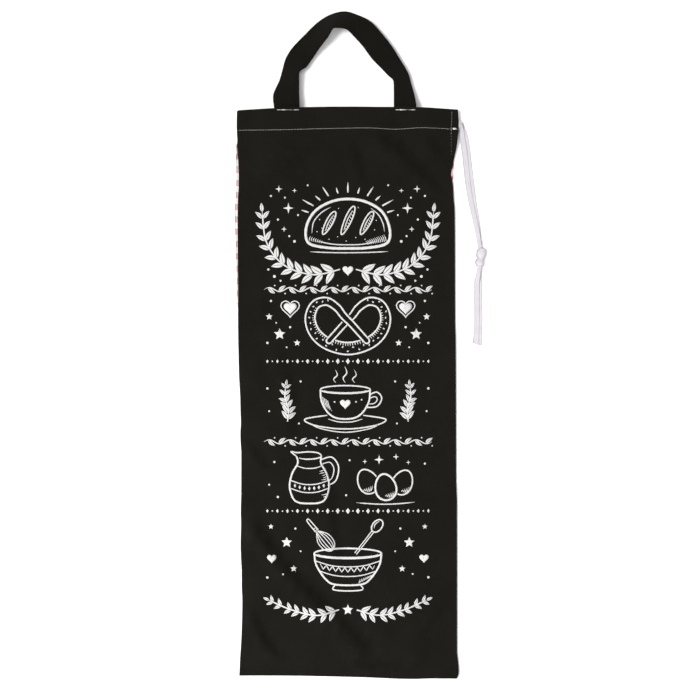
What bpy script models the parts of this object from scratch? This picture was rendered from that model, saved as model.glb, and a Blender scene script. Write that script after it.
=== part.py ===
"""Drawstring bread bag, empty and lying on its back with its front face up.

The bag is two cloth panels sewn together along the left side, the foot and most of the right side. Each
panel's top is folded inwards into a hem, which is the casing of the drawstring. The top of the right side is
left open as a slit, where both ends of the drawstring come out of the casings, are tied in one knot and lie
on the surface. A flat strap, sewn inside the front casing, is the handle.

Axes: +X to the right across the bag, +Y towards its mouth and handle, +Z up. Lengths are in metres. The
origin is on the surface that the bag lies on, at the middle of the length and width of bag and handle.
"""

import math

import bmesh
import bpy
from mathutils import Vector

# Cloth, tape and the gap that pieces lying on each other keep.
CLOTH = 0.0010
GAP = 0.0004
STRAP_THICK = 0.0020
TAPE_THICK = 0.0010
TAPE_WIDTH = 0.0060

# The bag's ends. The foot runs a little aslant and the top edge is bowed.
FOOT_Y = -0.3800
FOOT_SLANT = 0.0019
TOP_Y = 0.2719
TOP_BOW = 0.0040
TOP_LIFT = 0.0011  # what the top edge stands higher towards the right
TOP_LIFT_X = (0.0300, 0.0900)
TOP_LIFT_Y = (0.2600, 0.2700)
HALF_WIDTH = 0.1260
END_FADE = 0.0800  # how far into the bag the ends' unevenness reaches

# The side edges of the front, as (y, x) from the foot to the top.
LEFT_EDGE = (
    (-0.3830, -0.1243), (-0.3600, -0.1231), (-0.3370, -0.1218), (-0.2900, -0.1210),
    (-0.2300, -0.1220), (-0.1200, -0.1219), (-0.0750, -0.1230), (-0.0400, -0.1240),
    (-0.0100, -0.1252), (0.0400, -0.1256), (0.1000, -0.1261), (0.1500, -0.1260),
    (0.1800, -0.1251), (0.2150, -0.1252), (0.2400, -0.1268), (0.2720, -0.1267),
)
RIGHT_EDGE = (
    (-0.3830, 0.1269), (-0.3650, 0.1262), (-0.3480, 0.1249), (-0.1800, 0.1248),
    (-0.1550, 0.1240), (0.0040, 0.1234), (0.0280, 0.1228), (0.1300, 0.1225), (0.1580, 0.1223),
    (0.1736, 0.1209), (0.1880, 0.1190), (0.1960, 0.1178), (0.2075, 0.1198),
    (0.2180, 0.1221), (0.2300, 0.1244), (0.2470, 0.1262), (0.2590, 0.1266),
    (0.2720, 0.1257),
)
# How far the back's left edge rolls out past the front's, as (y, distance).
LEFT_ROLL = (
    (-0.3820, 0.0), (0.0300, 0.0), (0.0600, 0.0014), (0.0950, 0.0022), (0.1600, 0.0023),
    (0.2200, 0.0021), (0.2330, 0.0008), (0.2420, 0.0), (0.2720, 0.0),
)
# How far the back's right edge stands out past the front's at the foot of the slit, as (y, distance).
RIGHT_ROLL = (
    (-0.3820, 0.0), (0.1700, 0.0), (0.1780, 0.0005), (0.1850, 0.0014), (0.1930, 0.0025), (0.2000, 0.0024),
    (0.2070, 0.0016), (0.2140, 0.0005), (0.2220, 0.0), (0.2720, 0.0),
)

# The casing: the hem is folded inwards at the top and sewn down at the stitch line.
STITCH_Y = 0.2466
CHANNEL_Y = 0.2490
HEM_END_Y = 0.2438
CASING_STACK = CLOTH + GAP + TAPE_THICK + GAP + CLOTH
SEWN_STACK = CLOTH + GAP + CLOTH
FOLD_RADIUS = CASING_STACK / 2
FOLD_STEPS = 5

# Along the casing the closed left side wraps round the tape, in a quarter turn on each panel.
WRAP_RADIUS = CASING_STACK + 0.0006
WRAP_GAP = 0.0002  # what the quarter turns' edges stand apart on top of GAP
WRAP_START_Y = 0.1960
WRAP_FULL_Y = 0.2430
WRAP_SHARES = (0.0, 0.06, 0.38, 0.70)

# How high the front's outer face stands over the surface along its middle.
BODY_HEIGHT = 0.0100
MOUTH_HEIGHT = 0.0136
MOUTH_RISE_Y = 0.1500
SIDE_REACH = 0.0380  # from a sewn side to the level middle
FOOT_REACH = 0.0450

# The soft creases of the front, as (x0, y0, x1, y1, half width, height), ridges above 0 and troughs below.
CREASES = (
    (0.031, 0.239, 0.116, 0.182, 0.0090, -0.0013),
    (0.082, 0.236, 0.118, 0.205, 0.0060, -0.0008),
    (0.004, 0.224, 0.085, 0.166, 0.0120, 0.0009),
    (-0.075, 0.234, -0.072, 0.196, 0.0080, -0.0009),
    (-0.072, 0.196, -0.116, 0.150, 0.0090, -0.0007),
    (-0.113, 0.052, -0.092, -0.022, 0.0060, -0.0007),
    (-0.105, 0.060, -0.080, 0.010, 0.0070, 0.0006),
    (-0.122, -0.112, -0.090, -0.134, 0.0070, -0.0008),
    (-0.120, -0.158, -0.075, -0.190, 0.0100, 0.0007),
    (-0.075, -0.252, -0.049, -0.277, 0.0080, -0.0010),
    (-0.020, -0.315, 0.020, -0.355, 0.0090, -0.0013),
    (0.020, -0.355, 0.072, -0.372, 0.0090, -0.0010),
    (0.004, -0.310, 0.052, -0.342, 0.0110, 0.0010),
    (-0.112, -0.326, -0.083, -0.349, 0.0080, -0.0009),
    (0.077, -0.317, 0.112, -0.300, 0.0080, 0.0008),
    (0.060, -0.020, 0.108, -0.048, 0.0120, -0.0006),
    (0.050, -0.205, 0.110, -0.170, 0.0130, 0.0006),
)

# The rows of a panel from the foot to the casing, and its columns as shares of the width past the wrap.
FOOT_ROWS = (0.0, 0.0040, 0.0110, 0.0220, 0.0380)
BODY_ROW_COUNT = 19
LAST_BODY_ROW_Y = 0.1880
SLIT_ROWS_Y = (0.1960, 0.2050, 0.2140, 0.2240, 0.2340, HEM_END_Y, STITCH_Y)
CASING_ROWS_Y = (CHANNEL_Y, 0.2560, 0.2630)
EDGE_SHARES = (0.0, 0.045, 0.10, 0.16)
MIDDLE_COLUMNS = 13
BACK_MIDDLE_COLUMNS = 7

# The drawstring inside the casings, as (x, y of the row it lies on): it slants down to the right ends.
TAPE_LINE = (
    (-0.1300, 0.2600), (0.0900, 0.2622), (0.1020, 0.2618), (0.1120, 0.2605), (0.1190, 0.2590),
    (0.1256, 0.2568),
)
TAPE_DEPTH = CLOTH + GAP + TAPE_THICK / 2
TAPE_END_X = TAPE_LINE[-1][0]
SLANT_STEP = 0.0010  # half the length that the tape's slant is measured over
FREE_START_X = TAPE_END_X + GAP

# The handle's two edges, a row for each section, from the left foot over the crown to the right foot.
# Columns: outer x, outer y, outer z, inner x, inner y, inner z of the strap's middle surface.
ROOT_SPARE = 0.0001  # for the strap's edges, which bend a little
STRAP_ROOT_Z = MOUTH_HEIGHT - CASING_STACK - GAP - STRAP_THICK / 2 - ROOT_SPARE
HANDLE = (
    (-0.0838, 0.2520, STRAP_ROOT_Z, -0.0552, 0.2520, STRAP_ROOT_Z),
    (-0.0839, 0.2640, STRAP_ROOT_Z, -0.0552, 0.2640, STRAP_ROOT_Z),
    (-0.0841, 0.2725, STRAP_ROOT_Z, -0.0552, 0.2725, STRAP_ROOT_Z),
    (-0.0852, 0.2860, 0.0050, -0.0557, 0.2900, 0.0070),
    (-0.0778, 0.3040, 0.0028, -0.0557, 0.3095, 0.0088),
    (-0.0723, 0.3240, 0.0020, -0.0475, 0.3172, 0.0058),
    (-0.0624, 0.3420, 0.0015, -0.0408, 0.3264, 0.0046),
    (-0.0485, 0.3566, 0.0014, -0.0320, 0.3392, 0.0086),
    (-0.0344, 0.3690, 0.0014, -0.0231, 0.3505, 0.0128),
    (-0.0200, 0.3776, 0.0014, -0.0154, 0.3614, 0.0152),
    (-0.0040, 0.3813, 0.0016, -0.0081, 0.3612, 0.0152),
    (0.0108, 0.3773, 0.0024, -0.0012, 0.3595, 0.0136),
    (0.0263, 0.3694, 0.0036, 0.0067, 0.3520, 0.0106),
    (0.0396, 0.3551, 0.0042, 0.0170, 0.3408, 0.0082),
    (0.0504, 0.3412, 0.0042, 0.0279, 0.3262, 0.0066),
    (0.0603, 0.3256, 0.0040, 0.0376, 0.3163, 0.0058),
    (0.0690, 0.3105, 0.0038, 0.0454, 0.3082, 0.0056),
    (0.0726, 0.2980, 0.0040, 0.0521, 0.3006, 0.0060),
    (0.0762, 0.2850, 0.0052, 0.0524, 0.2870, 0.0066),
    (0.0781, 0.2725, STRAP_ROOT_Z, 0.0524, 0.2725, STRAP_ROOT_Z),
    (0.0780, 0.2640, STRAP_ROOT_Z, 0.0525, 0.2640, STRAP_ROOT_Z),
    (0.0778, 0.2520, STRAP_ROOT_Z, 0.0527, 0.2520, STRAP_ROOT_Z),
)
HANDLE_STEPS = 2
HANDLE_COLUMNS = 5
HANDLE_CUP = 0.0022  # how far the strap's middle bows up between its edges where it stands on edge

# The free ends of the drawstring, as (x, y, z, width) down the middle of the tape.
FRONT_EXIT_Z = GAP + WRAP_GAP + 2 * WRAP_RADIUS - TAPE_DEPTH
FRONT_END = (
    (FREE_START_X, 0.2527, FRONT_EXIT_Z, 0.0060), (0.1281, 0.2510, 0.0072, 0.0060),
    (0.1297, 0.2475, 0.0063, 0.0060), (0.1309, 0.2425, 0.0050, 0.0060),
    (0.1326, 0.2338, 0.0034, 0.0060), (0.1343, 0.2201, 0.0022, 0.0060),
    (0.1354, 0.2052, 0.0020, 0.0060), (0.1374, 0.1840, 0.0020, 0.0060),
    (0.1418, 0.1610, 0.0021, 0.0056), (0.1472, 0.1370, 0.0026, 0.0050),
    (0.1495, 0.1210, 0.0038, 0.0046), (0.1511, 0.1097, 0.0052, 0.0044),
)
BACK_END = (
    (FREE_START_X, 0.2527, TAPE_DEPTH, 0.0060), (0.1290, 0.2511, 0.0016, 0.0060),
    (0.1318, 0.2468, 0.0012, 0.0060), (0.1337, 0.2420, 0.0008, 0.0060),
    (0.1358, 0.2338, 0.0006, 0.0060), (0.1377, 0.2201, 0.0006, 0.0060),
    (0.1388, 0.2052, 0.0006, 0.0060), (0.1412, 0.1840, 0.0006, 0.0060),
    (0.1443, 0.1610, 0.0006, 0.0056), (0.1484, 0.1370, 0.0009, 0.0050),
    (0.1502, 0.1210, 0.0019, 0.0046), (0.1514, 0.1097, 0.0033, 0.0044),
)
LEFT_TAIL = (
    (0.1500, 0.0872, 0.0046, 0.0044), (0.1490, 0.0800, 0.0034, 0.0052),
    (0.1474, 0.0690, 0.0023, 0.0060), (0.1473, 0.0500, 0.0020, 0.0060),
    (0.1475, 0.0300, 0.0020, 0.0060), (0.1470, 0.0140, 0.0020, 0.0060),
    (0.1468, 0.0034, 0.0019, 0.0062),
)
RIGHT_TAIL = (
    (0.1502, 0.0872, 0.0027, 0.0044), (0.1502, 0.0800, 0.0013, 0.0052),
    (0.1500, 0.0690, 0.0007, 0.0060), (0.1501, 0.0500, 0.0006, 0.0060),
    (0.1506, 0.0300, 0.0006, 0.0060), (0.1503, 0.0140, 0.0006, 0.0060),
    (0.1504, -0.0012, 0.0006, 0.0062),
)
FREE_TAPE_STEPS = 3
FREE_TAPE_COLUMNS = 3
EXIT_BLEND = 0.0090  # over this length a free end's sections turn from along the casing's end to square

# The knot in both ends: its sections down from the top, as (y, middle x, half width, half height).
KNOT = (
    (0.1090, 0.1514, 0.0022, 0.0018), (0.1080, 0.1518, 0.0043, 0.0031),
    (0.1061, 0.1524, 0.0053, 0.0037), (0.1031, 0.1526, 0.0054, 0.0039),
    (0.1000, 0.1521, 0.0049, 0.0036), (0.0977, 0.1513, 0.0041, 0.0031),
    (0.0951, 0.1508, 0.0047, 0.0036), (0.0921, 0.1508, 0.0049, 0.0038),
    (0.0896, 0.1506, 0.0041, 0.0032), (0.0881, 0.1504, 0.0023, 0.0019),
)
KNOT_Z = 0.0041
KNOT_SEGMENTS = 16

# Finishes: colour, roughness and metallic value.
BLACK_CLOTH = ((0.014, 0.012, 0.010), 0.92, 0.0)
CHECKED_CLOTH = ((0.62, 0.16, 0.18), 0.90, 0.0)
WHITE_TAPE = ((0.84, 0.82, 0.85), 0.85, 0.0)


def smooth(t):
    """0 to 1 with level ends."""
    t = min(max(t, 0.0), 1.0)
    return t * t * (3 - 2 * t)


def slope(rows, k, c):
    """The slope of column c at row k, level at a crest, so that the curve never overshoots the rows."""
    sides = [
        (rows[i + 1][c] - rows[i][c]) / (rows[i + 1][0] - rows[i][0])
        for i in (k - 1, k)
        if 0 <= i < len(rows) - 1
    ]
    if sides[0] * sides[-1] <= 0:
        return 0.0
    mean = sum(sides) / len(sides)
    return math.copysign(min(abs(mean), 2 * abs(sides[0]), 2 * abs(sides[-1])), mean)


def through(rows, t):
    """The values of a table's other columns at t of its first one, on a smooth curve through its rows."""
    t = min(max(t, rows[0][0]), rows[-1][0])
    k = max(i for i in range(len(rows) - 1) if rows[i][0] <= t)
    here, after = rows[k], rows[k + 1]
    span = after[0] - here[0]
    s = (t - here[0]) / span
    return [
        here[c] * (1 + 2 * s) * (1 - s) ** 2
        + slope(rows, k, c) * span * s * (1 - s) ** 2
        + after[c] * s * s * (3 - 2 * s)
        + slope(rows, k + 1, c) * span * s * s * (s - 1)
        for c in range(1, len(here))
    ]


def resampled(rows, steps):
    """A table's rows with steps - 1 more between each two, on a smooth curve through them."""
    numbered = [(k, *row) for k, row in enumerate(rows)]
    count = (len(rows) - 1) * steps
    return [through(numbered, k / steps) for k in range(count + 1)]


# ---------------------------------------------------------------- the bag's shape


def wrap_angle(y):
    """How far the left side turns down towards the seam: a quarter turn along the casing, 0 below it."""
    return math.pi / 2 * smooth((y - WRAP_START_Y) / (WRAP_FULL_Y - WRAP_START_Y))


def seam_height(y):
    """The height of the plane between the two panels at their edges."""
    lean = math.cos(wrap_angle(y))
    return GAP / 2 + CLOTH * lean + (WRAP_RADIUS + WRAP_GAP / 2) * (1 - lean)


def plumpness(x, y):
    """0 along the sewn edges, 1 over the level middle."""
    angle = wrap_angle(y)
    left = through(LEFT_EDGE, y)[0] + WRAP_RADIUS * math.sin(angle)
    right = through(RIGHT_EDGE, y)[0]
    return (
        smooth((x - left) / SIDE_REACH)
        * smooth((right - x) / SIDE_REACH)
        * smooth((y - FOOT_Y) / FOOT_REACH)
    )


def crease_height(x, y):
    """The sum of the soft creases at a point of the front."""
    total = 0.0
    for x0, y0, x1, y1, half_width, height in CREASES:
        start, run = Vector((x0, y0)), Vector((x1 - x0, y1 - y0))
        share = (Vector((x, y)) - start).dot(run) / run.length_squared
        off = (Vector((x, y)) - start - run * min(max(share, 0.0), 1.0)).length
        total += height * math.exp(-((off / half_width) ** 2))
    return total


def rise(x, y):
    """How much higher the front's outer face is than its edges."""
    mouth = smooth((y - MOUTH_RISE_Y) / (HEM_END_Y - MOUTH_RISE_Y))
    level = BODY_HEIGHT + (MOUTH_HEIGHT - BODY_HEIGHT) * mouth
    swell = level - 2 * seam_height(y)
    return plumpness(x, y) * (swell + crease_height(x, y) * (1 - mouth))


def across(column, y, left_roll=0.0, right_roll=0.0):
    """Where a column crosses the row at y: (x, height over the seam plane, turn) of a panel's outer face.

    A column is ("wrap", share) of the left side's quarter turn or ("flat", share) of the width that is left.
    """
    kind, share = column
    angle = wrap_angle(y)
    left = through(LEFT_EDGE, y)[0] - left_roll
    right = through(RIGHT_EDGE, y)[0] + right_roll
    wrap_length = WRAP_RADIUS * math.pi / 2
    full = right - left + WRAP_RADIUS * (angle - math.sin(angle))
    if kind == "wrap":
        s = wrap_length * share
    else:
        s = wrap_length + share * (full - wrap_length)
    turn = max(angle - s / WRAP_RADIUS, 0.0)
    x = left + WRAP_RADIUS * (math.sin(angle) - math.sin(turn)) + max(s - WRAP_RADIUS * angle, 0.0)
    height = seam_height(y) - WRAP_RADIUS * (1 - math.cos(turn))
    return x, height, turn


def true_y(x, y):
    """A row's real y at x, with the slant of the foot and the bow of the top edge."""
    foot = -FOOT_SLANT * math.sin(math.pi * x / (2 * HALF_WIDTH))
    bow = -TOP_BOW * (x / HALF_WIDTH) ** 2
    near_foot = 1 - smooth((y - FOOT_Y) / END_FADE)
    near_top = 1 - smooth((HEM_END_Y - y) / END_FADE)
    lift = TOP_LIFT
    for value, (start, end) in ((x, TOP_LIFT_X), (y, TOP_LIFT_Y)):
        lift *= smooth((value - start) / (end - start))
    return y + foot * near_foot + bow * near_top + lift


def panel_rows():
    """The rows of a panel from the foot to the end of the hem, as (y, further y, depth under the face)."""
    first = FOOT_Y + FOOT_ROWS[-1]
    step = (LAST_BODY_ROW_Y - first) / BODY_ROW_COUNT
    body = [FOOT_Y + d for d in FOOT_ROWS] + [first + step * (k + 1) for k in range(BODY_ROW_COUNT)]
    rows = [(y, 0.0, 0.0) for y in (*body, *SLIT_ROWS_Y, *CASING_ROWS_Y)]
    fold_y = TOP_Y - FOLD_RADIUS
    for k in range(FOLD_STEPS + 1):
        angle = math.pi * k / FOLD_STEPS
        rows.append((fold_y, FOLD_RADIUS * math.sin(angle), FOLD_RADIUS * (1 - math.cos(angle))))
    rows += [(y, 0.0, CASING_STACK) for y in reversed(CASING_ROWS_Y)]
    rows += [(y, 0.0, SEWN_STACK) for y in (STITCH_Y, HEM_END_Y)]
    return rows


def panel_columns(middle):
    """The columns of a panel from the left edge to the right one."""
    wrap = [("wrap", share) for share in WRAP_SHARES]
    inner = [EDGE_SHARES[-1] + (1 - 2 * EDGE_SHARES[-1]) * (k + 1) / middle for k in range(middle - 1)]
    shares = [*EDGE_SHARES, *inner, *(1 - share for share in reversed(EDGE_SHARES))]
    return wrap + [("flat", share) for share in shares]


# ---------------------------------------------------------------- making solids


def new_material(name, finish):
    colour, roughness, metallic = finish
    material = bpy.data.materials.new(name)
    material.use_nodes = True
    shader = material.node_tree.nodes["Principled BSDF"]
    shader.inputs["Base Color"].default_value = (*colour, 1.0)
    shader.inputs["Roughness"].default_value = roughness
    shader.inputs["Metallic"].default_value = metallic
    material.diffuse_color = (*colour, 1.0)
    return material


def warped_grid(name, columns, rows, place, flip=False):
    """A grid of columns by rows points, each moved to place(column, row)."""
    bm = bmesh.new()
    bmesh.ops.create_grid(bm, x_segments=columns - 1, y_segments=rows - 1, size=0.5)
    for vert in bm.verts:
        i = round((vert.co.x + 0.5) * (columns - 1))
        j = round((vert.co.y + 0.5) * (rows - 1))
        vert.co = place(i, j)
    if flip:
        bmesh.ops.reverse_faces(bm, faces=bm.faces)
    mesh = bpy.data.meshes.new(name)
    bm.to_mesh(mesh)
    bm.free()
    return bpy.data.objects.new(name, mesh)


def finish(obj, collection, material):
    collection.objects.link(obj)
    obj.data.materials.append(material)
    obj.data.shade_smooth()
    return obj


def thicken(obj, thickness, offset):
    """Gives an open surface its thickness: offset -1 puts it all behind the face, 0 half on each side."""
    modifier = obj.modifiers.new("thickness", "SOLIDIFY")
    modifier.thickness = thickness
    modifier.offset = offset
    modifier.use_even_offset = True


def front_panel(collection, material):
    """The front: its outer face, folded in at the top to make the casing."""
    rows, columns = panel_rows(), panel_columns(MIDDLE_COLUMNS)

    def place(i, j):
        y, further, depth = rows[j]
        x, height, turn = across(columns[i], y)
        z = seam_height(y) + height + rise(x, y)
        return (
            x + depth * math.sin(turn),
            true_y(x, y) + further,
            z - depth * math.cos(turn),
        )

    obj = warped_grid("front_panel", len(columns), len(rows), place)
    thicken(finish(obj, collection, material), CLOTH, -1)


def back_panel(collection, material):
    """The back: flat on the surface, and rolled out past the front along the upper left side."""
    rows, columns = panel_rows(), panel_columns(BACK_MIDDLE_COLUMNS)

    def place(i, j):
        y, further, depth = rows[j]
        x, height, turn = across(columns[i], y, through(LEFT_ROLL, y)[0], through(RIGHT_ROLL, y)[0])
        z = seam_height(y) - height
        return (
            x + depth * math.sin(turn),
            true_y(x, y) + further,
            z + depth * math.cos(turn),
        )

    obj = warped_grid("back_panel", len(columns), len(rows), place, flip=True)
    thicken(finish(obj, collection, material), CLOTH, -1)


def handle(collection, material):
    """The strap, as a ruled band between its two edges with a soft bow across it."""
    sections = resampled(HANDLE, HANDLE_STEPS)

    def place(i, j):
        outer, inner = Vector(sections[j][:3]), Vector(sections[j][3:])
        share = i / (HANDLE_COLUMNS - 1)
        on_edge = abs(inner.z - outer.z) / (inner - outer).length
        bow = HANDLE_CUP * on_edge * math.sin(math.pi * share)
        return outer.lerp(inner, share) + Vector((0, 0, bow))

    obj = warped_grid("handle", HANDLE_COLUMNS, len(sections), place)
    thicken(finish(obj, collection, material), STRAP_THICK, 0)


def band(name, centres, collection, material, leaves_casing):
    """A flat tape along (x, y, z, width) rows, level across. Where it leaves the casing it is cut along y."""
    rows = [(Vector(row[:3]), row[3]) for row in centres]

    def place(i, j):
        centre, width = rows[j]
        ahead = rows[min(j + 1, len(rows) - 1)][0] - rows[max(j - 1, 0)][0]
        side = Vector((-ahead.y, ahead.x, 0)).normalized()
        if leaves_casing:
            square = smooth((centre - rows[0][0]).length / EXIT_BLEND)
            if square < 1:
                side = Vector((0, 1 / side.y, 0)).lerp(side, square)
        return centre + side * width * (i / (FREE_TAPE_COLUMNS - 1) - 0.5)

    obj = warped_grid(name, FREE_TAPE_COLUMNS, len(rows), place)
    thicken(finish(obj, collection, material), TAPE_THICK, 0)


def casing_tape_line():
    """The (x, z) points of the tape from the front casing's right end, round the left side, to the back's."""
    row_y = TAPE_LINE[0][1]
    left = through(LEFT_EDGE, row_y)[0] + WRAP_RADIUS
    columns = [column for column in panel_columns(MIDDLE_COLUMNS) if column[0] == "flat"]
    between = [across(column, row_y)[0] for column in reversed(columns)]
    xs = [TAPE_END_X, *(x for x in between if left + WRAP_RADIUS / 2 < x < TAPE_END_X), left]
    seam = seam_height(row_y)
    front = [(x, 2 * seam + rise(x, row_y) - TAPE_DEPTH) for x in xs]
    turns = [math.pi / 2 * (1 - share) for share in reversed(WRAP_SHARES)]
    radius = WRAP_RADIUS - TAPE_DEPTH
    upper = [(left - radius * math.sin(a), 2 * seam - WRAP_RADIUS + radius * math.cos(a)) for a in turns]
    lower = [(left - radius * math.sin(a), WRAP_RADIUS - radius * math.cos(a)) for a in reversed(turns)]
    back = [(x, TAPE_DEPTH) for x in reversed(xs)]
    return front + upper + lower + back


def casing_tape(collection, material):
    """The drawstring inside the two casings, one tape that turns round the closed left side."""
    line = casing_tape_line()

    def place(i, j):
        x, z = line[j]
        row_y = through(TAPE_LINE, x)[0]
        fall = through(TAPE_LINE, x - SLANT_STEP)[0] - through(TAPE_LINE, x + SLANT_STEP)[0]
        breadth = TAPE_WIDTH * math.hypot(1, max(fall, 0.0) / (2 * SLANT_STEP))
        return x, true_y(x, row_y - breadth * (i - 0.5)), z

    obj = warped_grid("drawstring_in_casing", 2, len(line), place)
    thicken(finish(obj, collection, material), TAPE_THICK, 0)


def knot(collection, material):
    """The knot: a round body through its sections, with a waist between its two lobes."""
    rings = resampled(KNOT, 2)
    bm = bmesh.new()
    bmesh.ops.create_uvsphere(bm, u_segments=KNOT_SEGMENTS, v_segments=len(rings) + 1, radius=1.0)
    for vert in bm.verts:
        ring = round(math.acos(min(max(vert.co.z, -1.0), 1.0)) / math.pi * (len(rings) + 1))
        y, x, half_width, half_height = rings[min(max(ring - 1, 0), len(rings) - 1)]
        around = vert.co.xy.normalized() if 0 < ring <= len(rings) else Vector((0, 0))
        vert.co = (x + around.x * half_width, y, KNOT_Z - around.y * half_height)
    mesh = bpy.data.meshes.new("drawstring_knot")
    bm.to_mesh(mesh)
    bm.free()
    finish(bpy.data.objects.new("drawstring_knot", mesh), collection, material)


def main():
    for obj in list(bpy.data.objects):
        bpy.data.objects.remove(obj)
    collection = bpy.data.collections.new("bread_bag")
    bpy.context.scene.collection.children.link(collection)
    black = new_material("black_cloth", BLACK_CLOTH)
    checked = new_material("checked_cloth", CHECKED_CLOTH)
    white = new_material("white_tape", WHITE_TAPE)
    front_panel(collection, black)
    back_panel(collection, checked)
    handle(collection, black)
    casing_tape(collection, white)
    for name, rows, leaves_casing in (
        ("drawstring_end_front", FRONT_END, True),
        ("drawstring_end_back", BACK_END, True),
        ("drawstring_tail_left", LEFT_TAIL, False),
        ("drawstring_tail_right", RIGHT_TAIL, False),
    ):
        band(name, resampled(rows, FREE_TAPE_STEPS), collection, white, leaves_casing)
    knot(collection, white)


main()
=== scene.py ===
"""Looks of the drawstring bread bag: cloth, tape, stitching, print, light and camera.

Lengths are in metres in the frame's axes: +X across the bag, +Y towards its mouth and handle, +Z up. The tables
are written in millimetres. They start from the ones in the part's source, and follow the photograph more closely
than its solids do in the edges, the back's roll, the handle and the tape's way.
"""

from cmath import rect
from math import copysign, cos, exp, hypot, pi, radians, sin, sqrt, tanh

import bpy
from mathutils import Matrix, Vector
from mathutils.bvhtree import BVHTree


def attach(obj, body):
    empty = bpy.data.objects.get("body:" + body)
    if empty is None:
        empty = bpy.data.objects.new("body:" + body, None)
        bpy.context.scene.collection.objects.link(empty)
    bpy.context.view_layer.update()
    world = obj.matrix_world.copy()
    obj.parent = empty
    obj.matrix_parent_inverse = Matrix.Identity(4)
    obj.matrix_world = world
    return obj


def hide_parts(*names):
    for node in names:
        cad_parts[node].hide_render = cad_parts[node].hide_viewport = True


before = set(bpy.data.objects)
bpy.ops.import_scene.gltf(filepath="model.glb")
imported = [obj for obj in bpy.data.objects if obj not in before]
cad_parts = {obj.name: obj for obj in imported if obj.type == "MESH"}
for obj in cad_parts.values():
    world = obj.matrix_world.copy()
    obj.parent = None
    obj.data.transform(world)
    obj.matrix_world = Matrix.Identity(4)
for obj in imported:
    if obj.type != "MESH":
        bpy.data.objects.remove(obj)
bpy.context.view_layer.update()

# ---------------------------------------------------------------- camera

# The photograph's frame is 0.80 m wide and looks straight down, from far enough for hardly any perspective.
VIEW_CENTRE = (0.00234, -0.00611)
VIEW_WIDTH = 0.7997
VIEW_LEVEL = 0.009
LENS = 200.0
SENSOR = 36.0

camera_data = bpy.data.cameras.new("camera")
camera_data.lens = LENS
camera_data.sensor_width = SENSOR
camera_data.clip_end = 60.0
camera = bpy.data.objects.new("camera", camera_data)
camera.location = (*VIEW_CENTRE, VIEW_LEVEL + VIEW_WIDTH * LENS / SENSOR)
bpy.context.scene.collection.objects.link(camera)
bpy.context.scene.camera = camera

# ---------------------------------------------------------------- the bag's measures


def metres(rows):
    """A table's rows in metres, from millimetres."""
    return tuple(tuple(value / 1000 for value in row) for row in rows)


CLOTH = 0.0010
GAP = 0.0004
STRAP_THICK = 0.0020
TAPE_THICK = 0.0010
TAPE_WIDTH = 0.0060

FOOT_Y = -0.3800
FOOT_SLANT = 0.0019
TOP_Y = 0.2719
TOP_BOW = 0.0040
TOP_LIFT = 0.0011
TOP_LIFT_X = (0.0300, 0.0900)
TOP_LIFT_Y = (0.2600, 0.2700)
HALF_WIDTH = 0.1260
END_FADE = 0.0800

# How much lower the foot hangs, at x.
FOOT_SAG = metres(((-130, 0.8), (-40, 0.2), (0, 0.2), (35, 0.6), (62, 1.2), (78, 1.1), (95, 0.3), (130, 0.4)))
# The x of the front's side edges, and how far the back rolls out past them, at y.
LEFT_EDGE = metres((
    (-383, -124.6), (-360, -123.5), (-337, -122.1), (-293, -121), (-277, -121.6), (-260, -121.7), (-245, -122.4),
    (-229, -122.9), (-205, -122.4), (-190, -122.7), (-170, -122.2), (-125, -122.1), (-113, -122.8), (-101, -123.2),
    (-90, -122.6), (-75, -123), (-55, -123.6), (-37, -124.6), (-10, -125.3), (8, -125.7), (40, -125.9), (52, -125.7),
    (100, -126.2), (150, -126.3), (168, -125.9), (180, -125.2), (195, -125.1), (206.4, -125.5), (213.3, -126),
    (220.2, -126.6), (227, -126.7), (240, -126.8), (256, -127.5), (264, -127.5), (272, -127.2),
))
RIGHT_EDGE = metres((
    (-380, 124.5), (-378.5, 125.2), (-376.5, 126), (-374, 126.6), (-370, 126.9), (-367.2, 126.7), (-360, 126),
    (-348, 124.9), (-180, 124.8), (-155, 124), (4, 123.4), (28, 122.8), (130, 122.5), (156, 122.1), (166.4, 121.2),
    (173.6, 120.8), (182.4, 120.4), (188, 119.6), (196, 118), (207.5, 119.9), (218, 122.1), (230, 124.4),
    (247, 126.2), (259, 126.6), (272, 125.7),
))
LEFT_ROLL = metres((
    (-382, 0), (30, 0), (59, 1.6), (86.4, 1.7), (103.6, 2.2), (117.3, 2.4), (131, 3), (144.7, 3.3), (158.4, 3.2),
    (172.1, 2.8), (185.8, 2.9), (203, 2.8), (216.7, 2.6), (222, 1.8), (228.1, 2), (233.5, 1.4), (236.5, 0), (272, 0),
))
RIGHT_ROLL = metres((
    (-382, 0), (186, 0), (189.2, 0.6), (192.5, 1.7), (196.5, 2), (200, 1.4), (207, 1.1), (214, 0.4), (222, 0),
    (272, 0),
))
NO_ROLL = metres(((-382, 0), (272, 0)))

STITCH_Y = 0.2466
HEM_END_Y = 0.2438
CASING_STACK = CLOTH + GAP + TAPE_THICK + GAP + CLOTH
SEWN_STACK = CLOTH + GAP + CLOTH
FOLD_RADIUS = CASING_STACK / 2
WRAP_RADIUS = CASING_STACK + 0.0006
WRAP_GAP = 0.0002
WRAP_Y = (0.1960, 0.2430)

BODY_HEIGHT = 0.0100
MOUTH_HEIGHT = 0.0136
MOUTH_RISE = (0.1500, HEM_END_Y)
SIDE_REACH = 0.0380
FOOT_REACH = 0.0450

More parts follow.
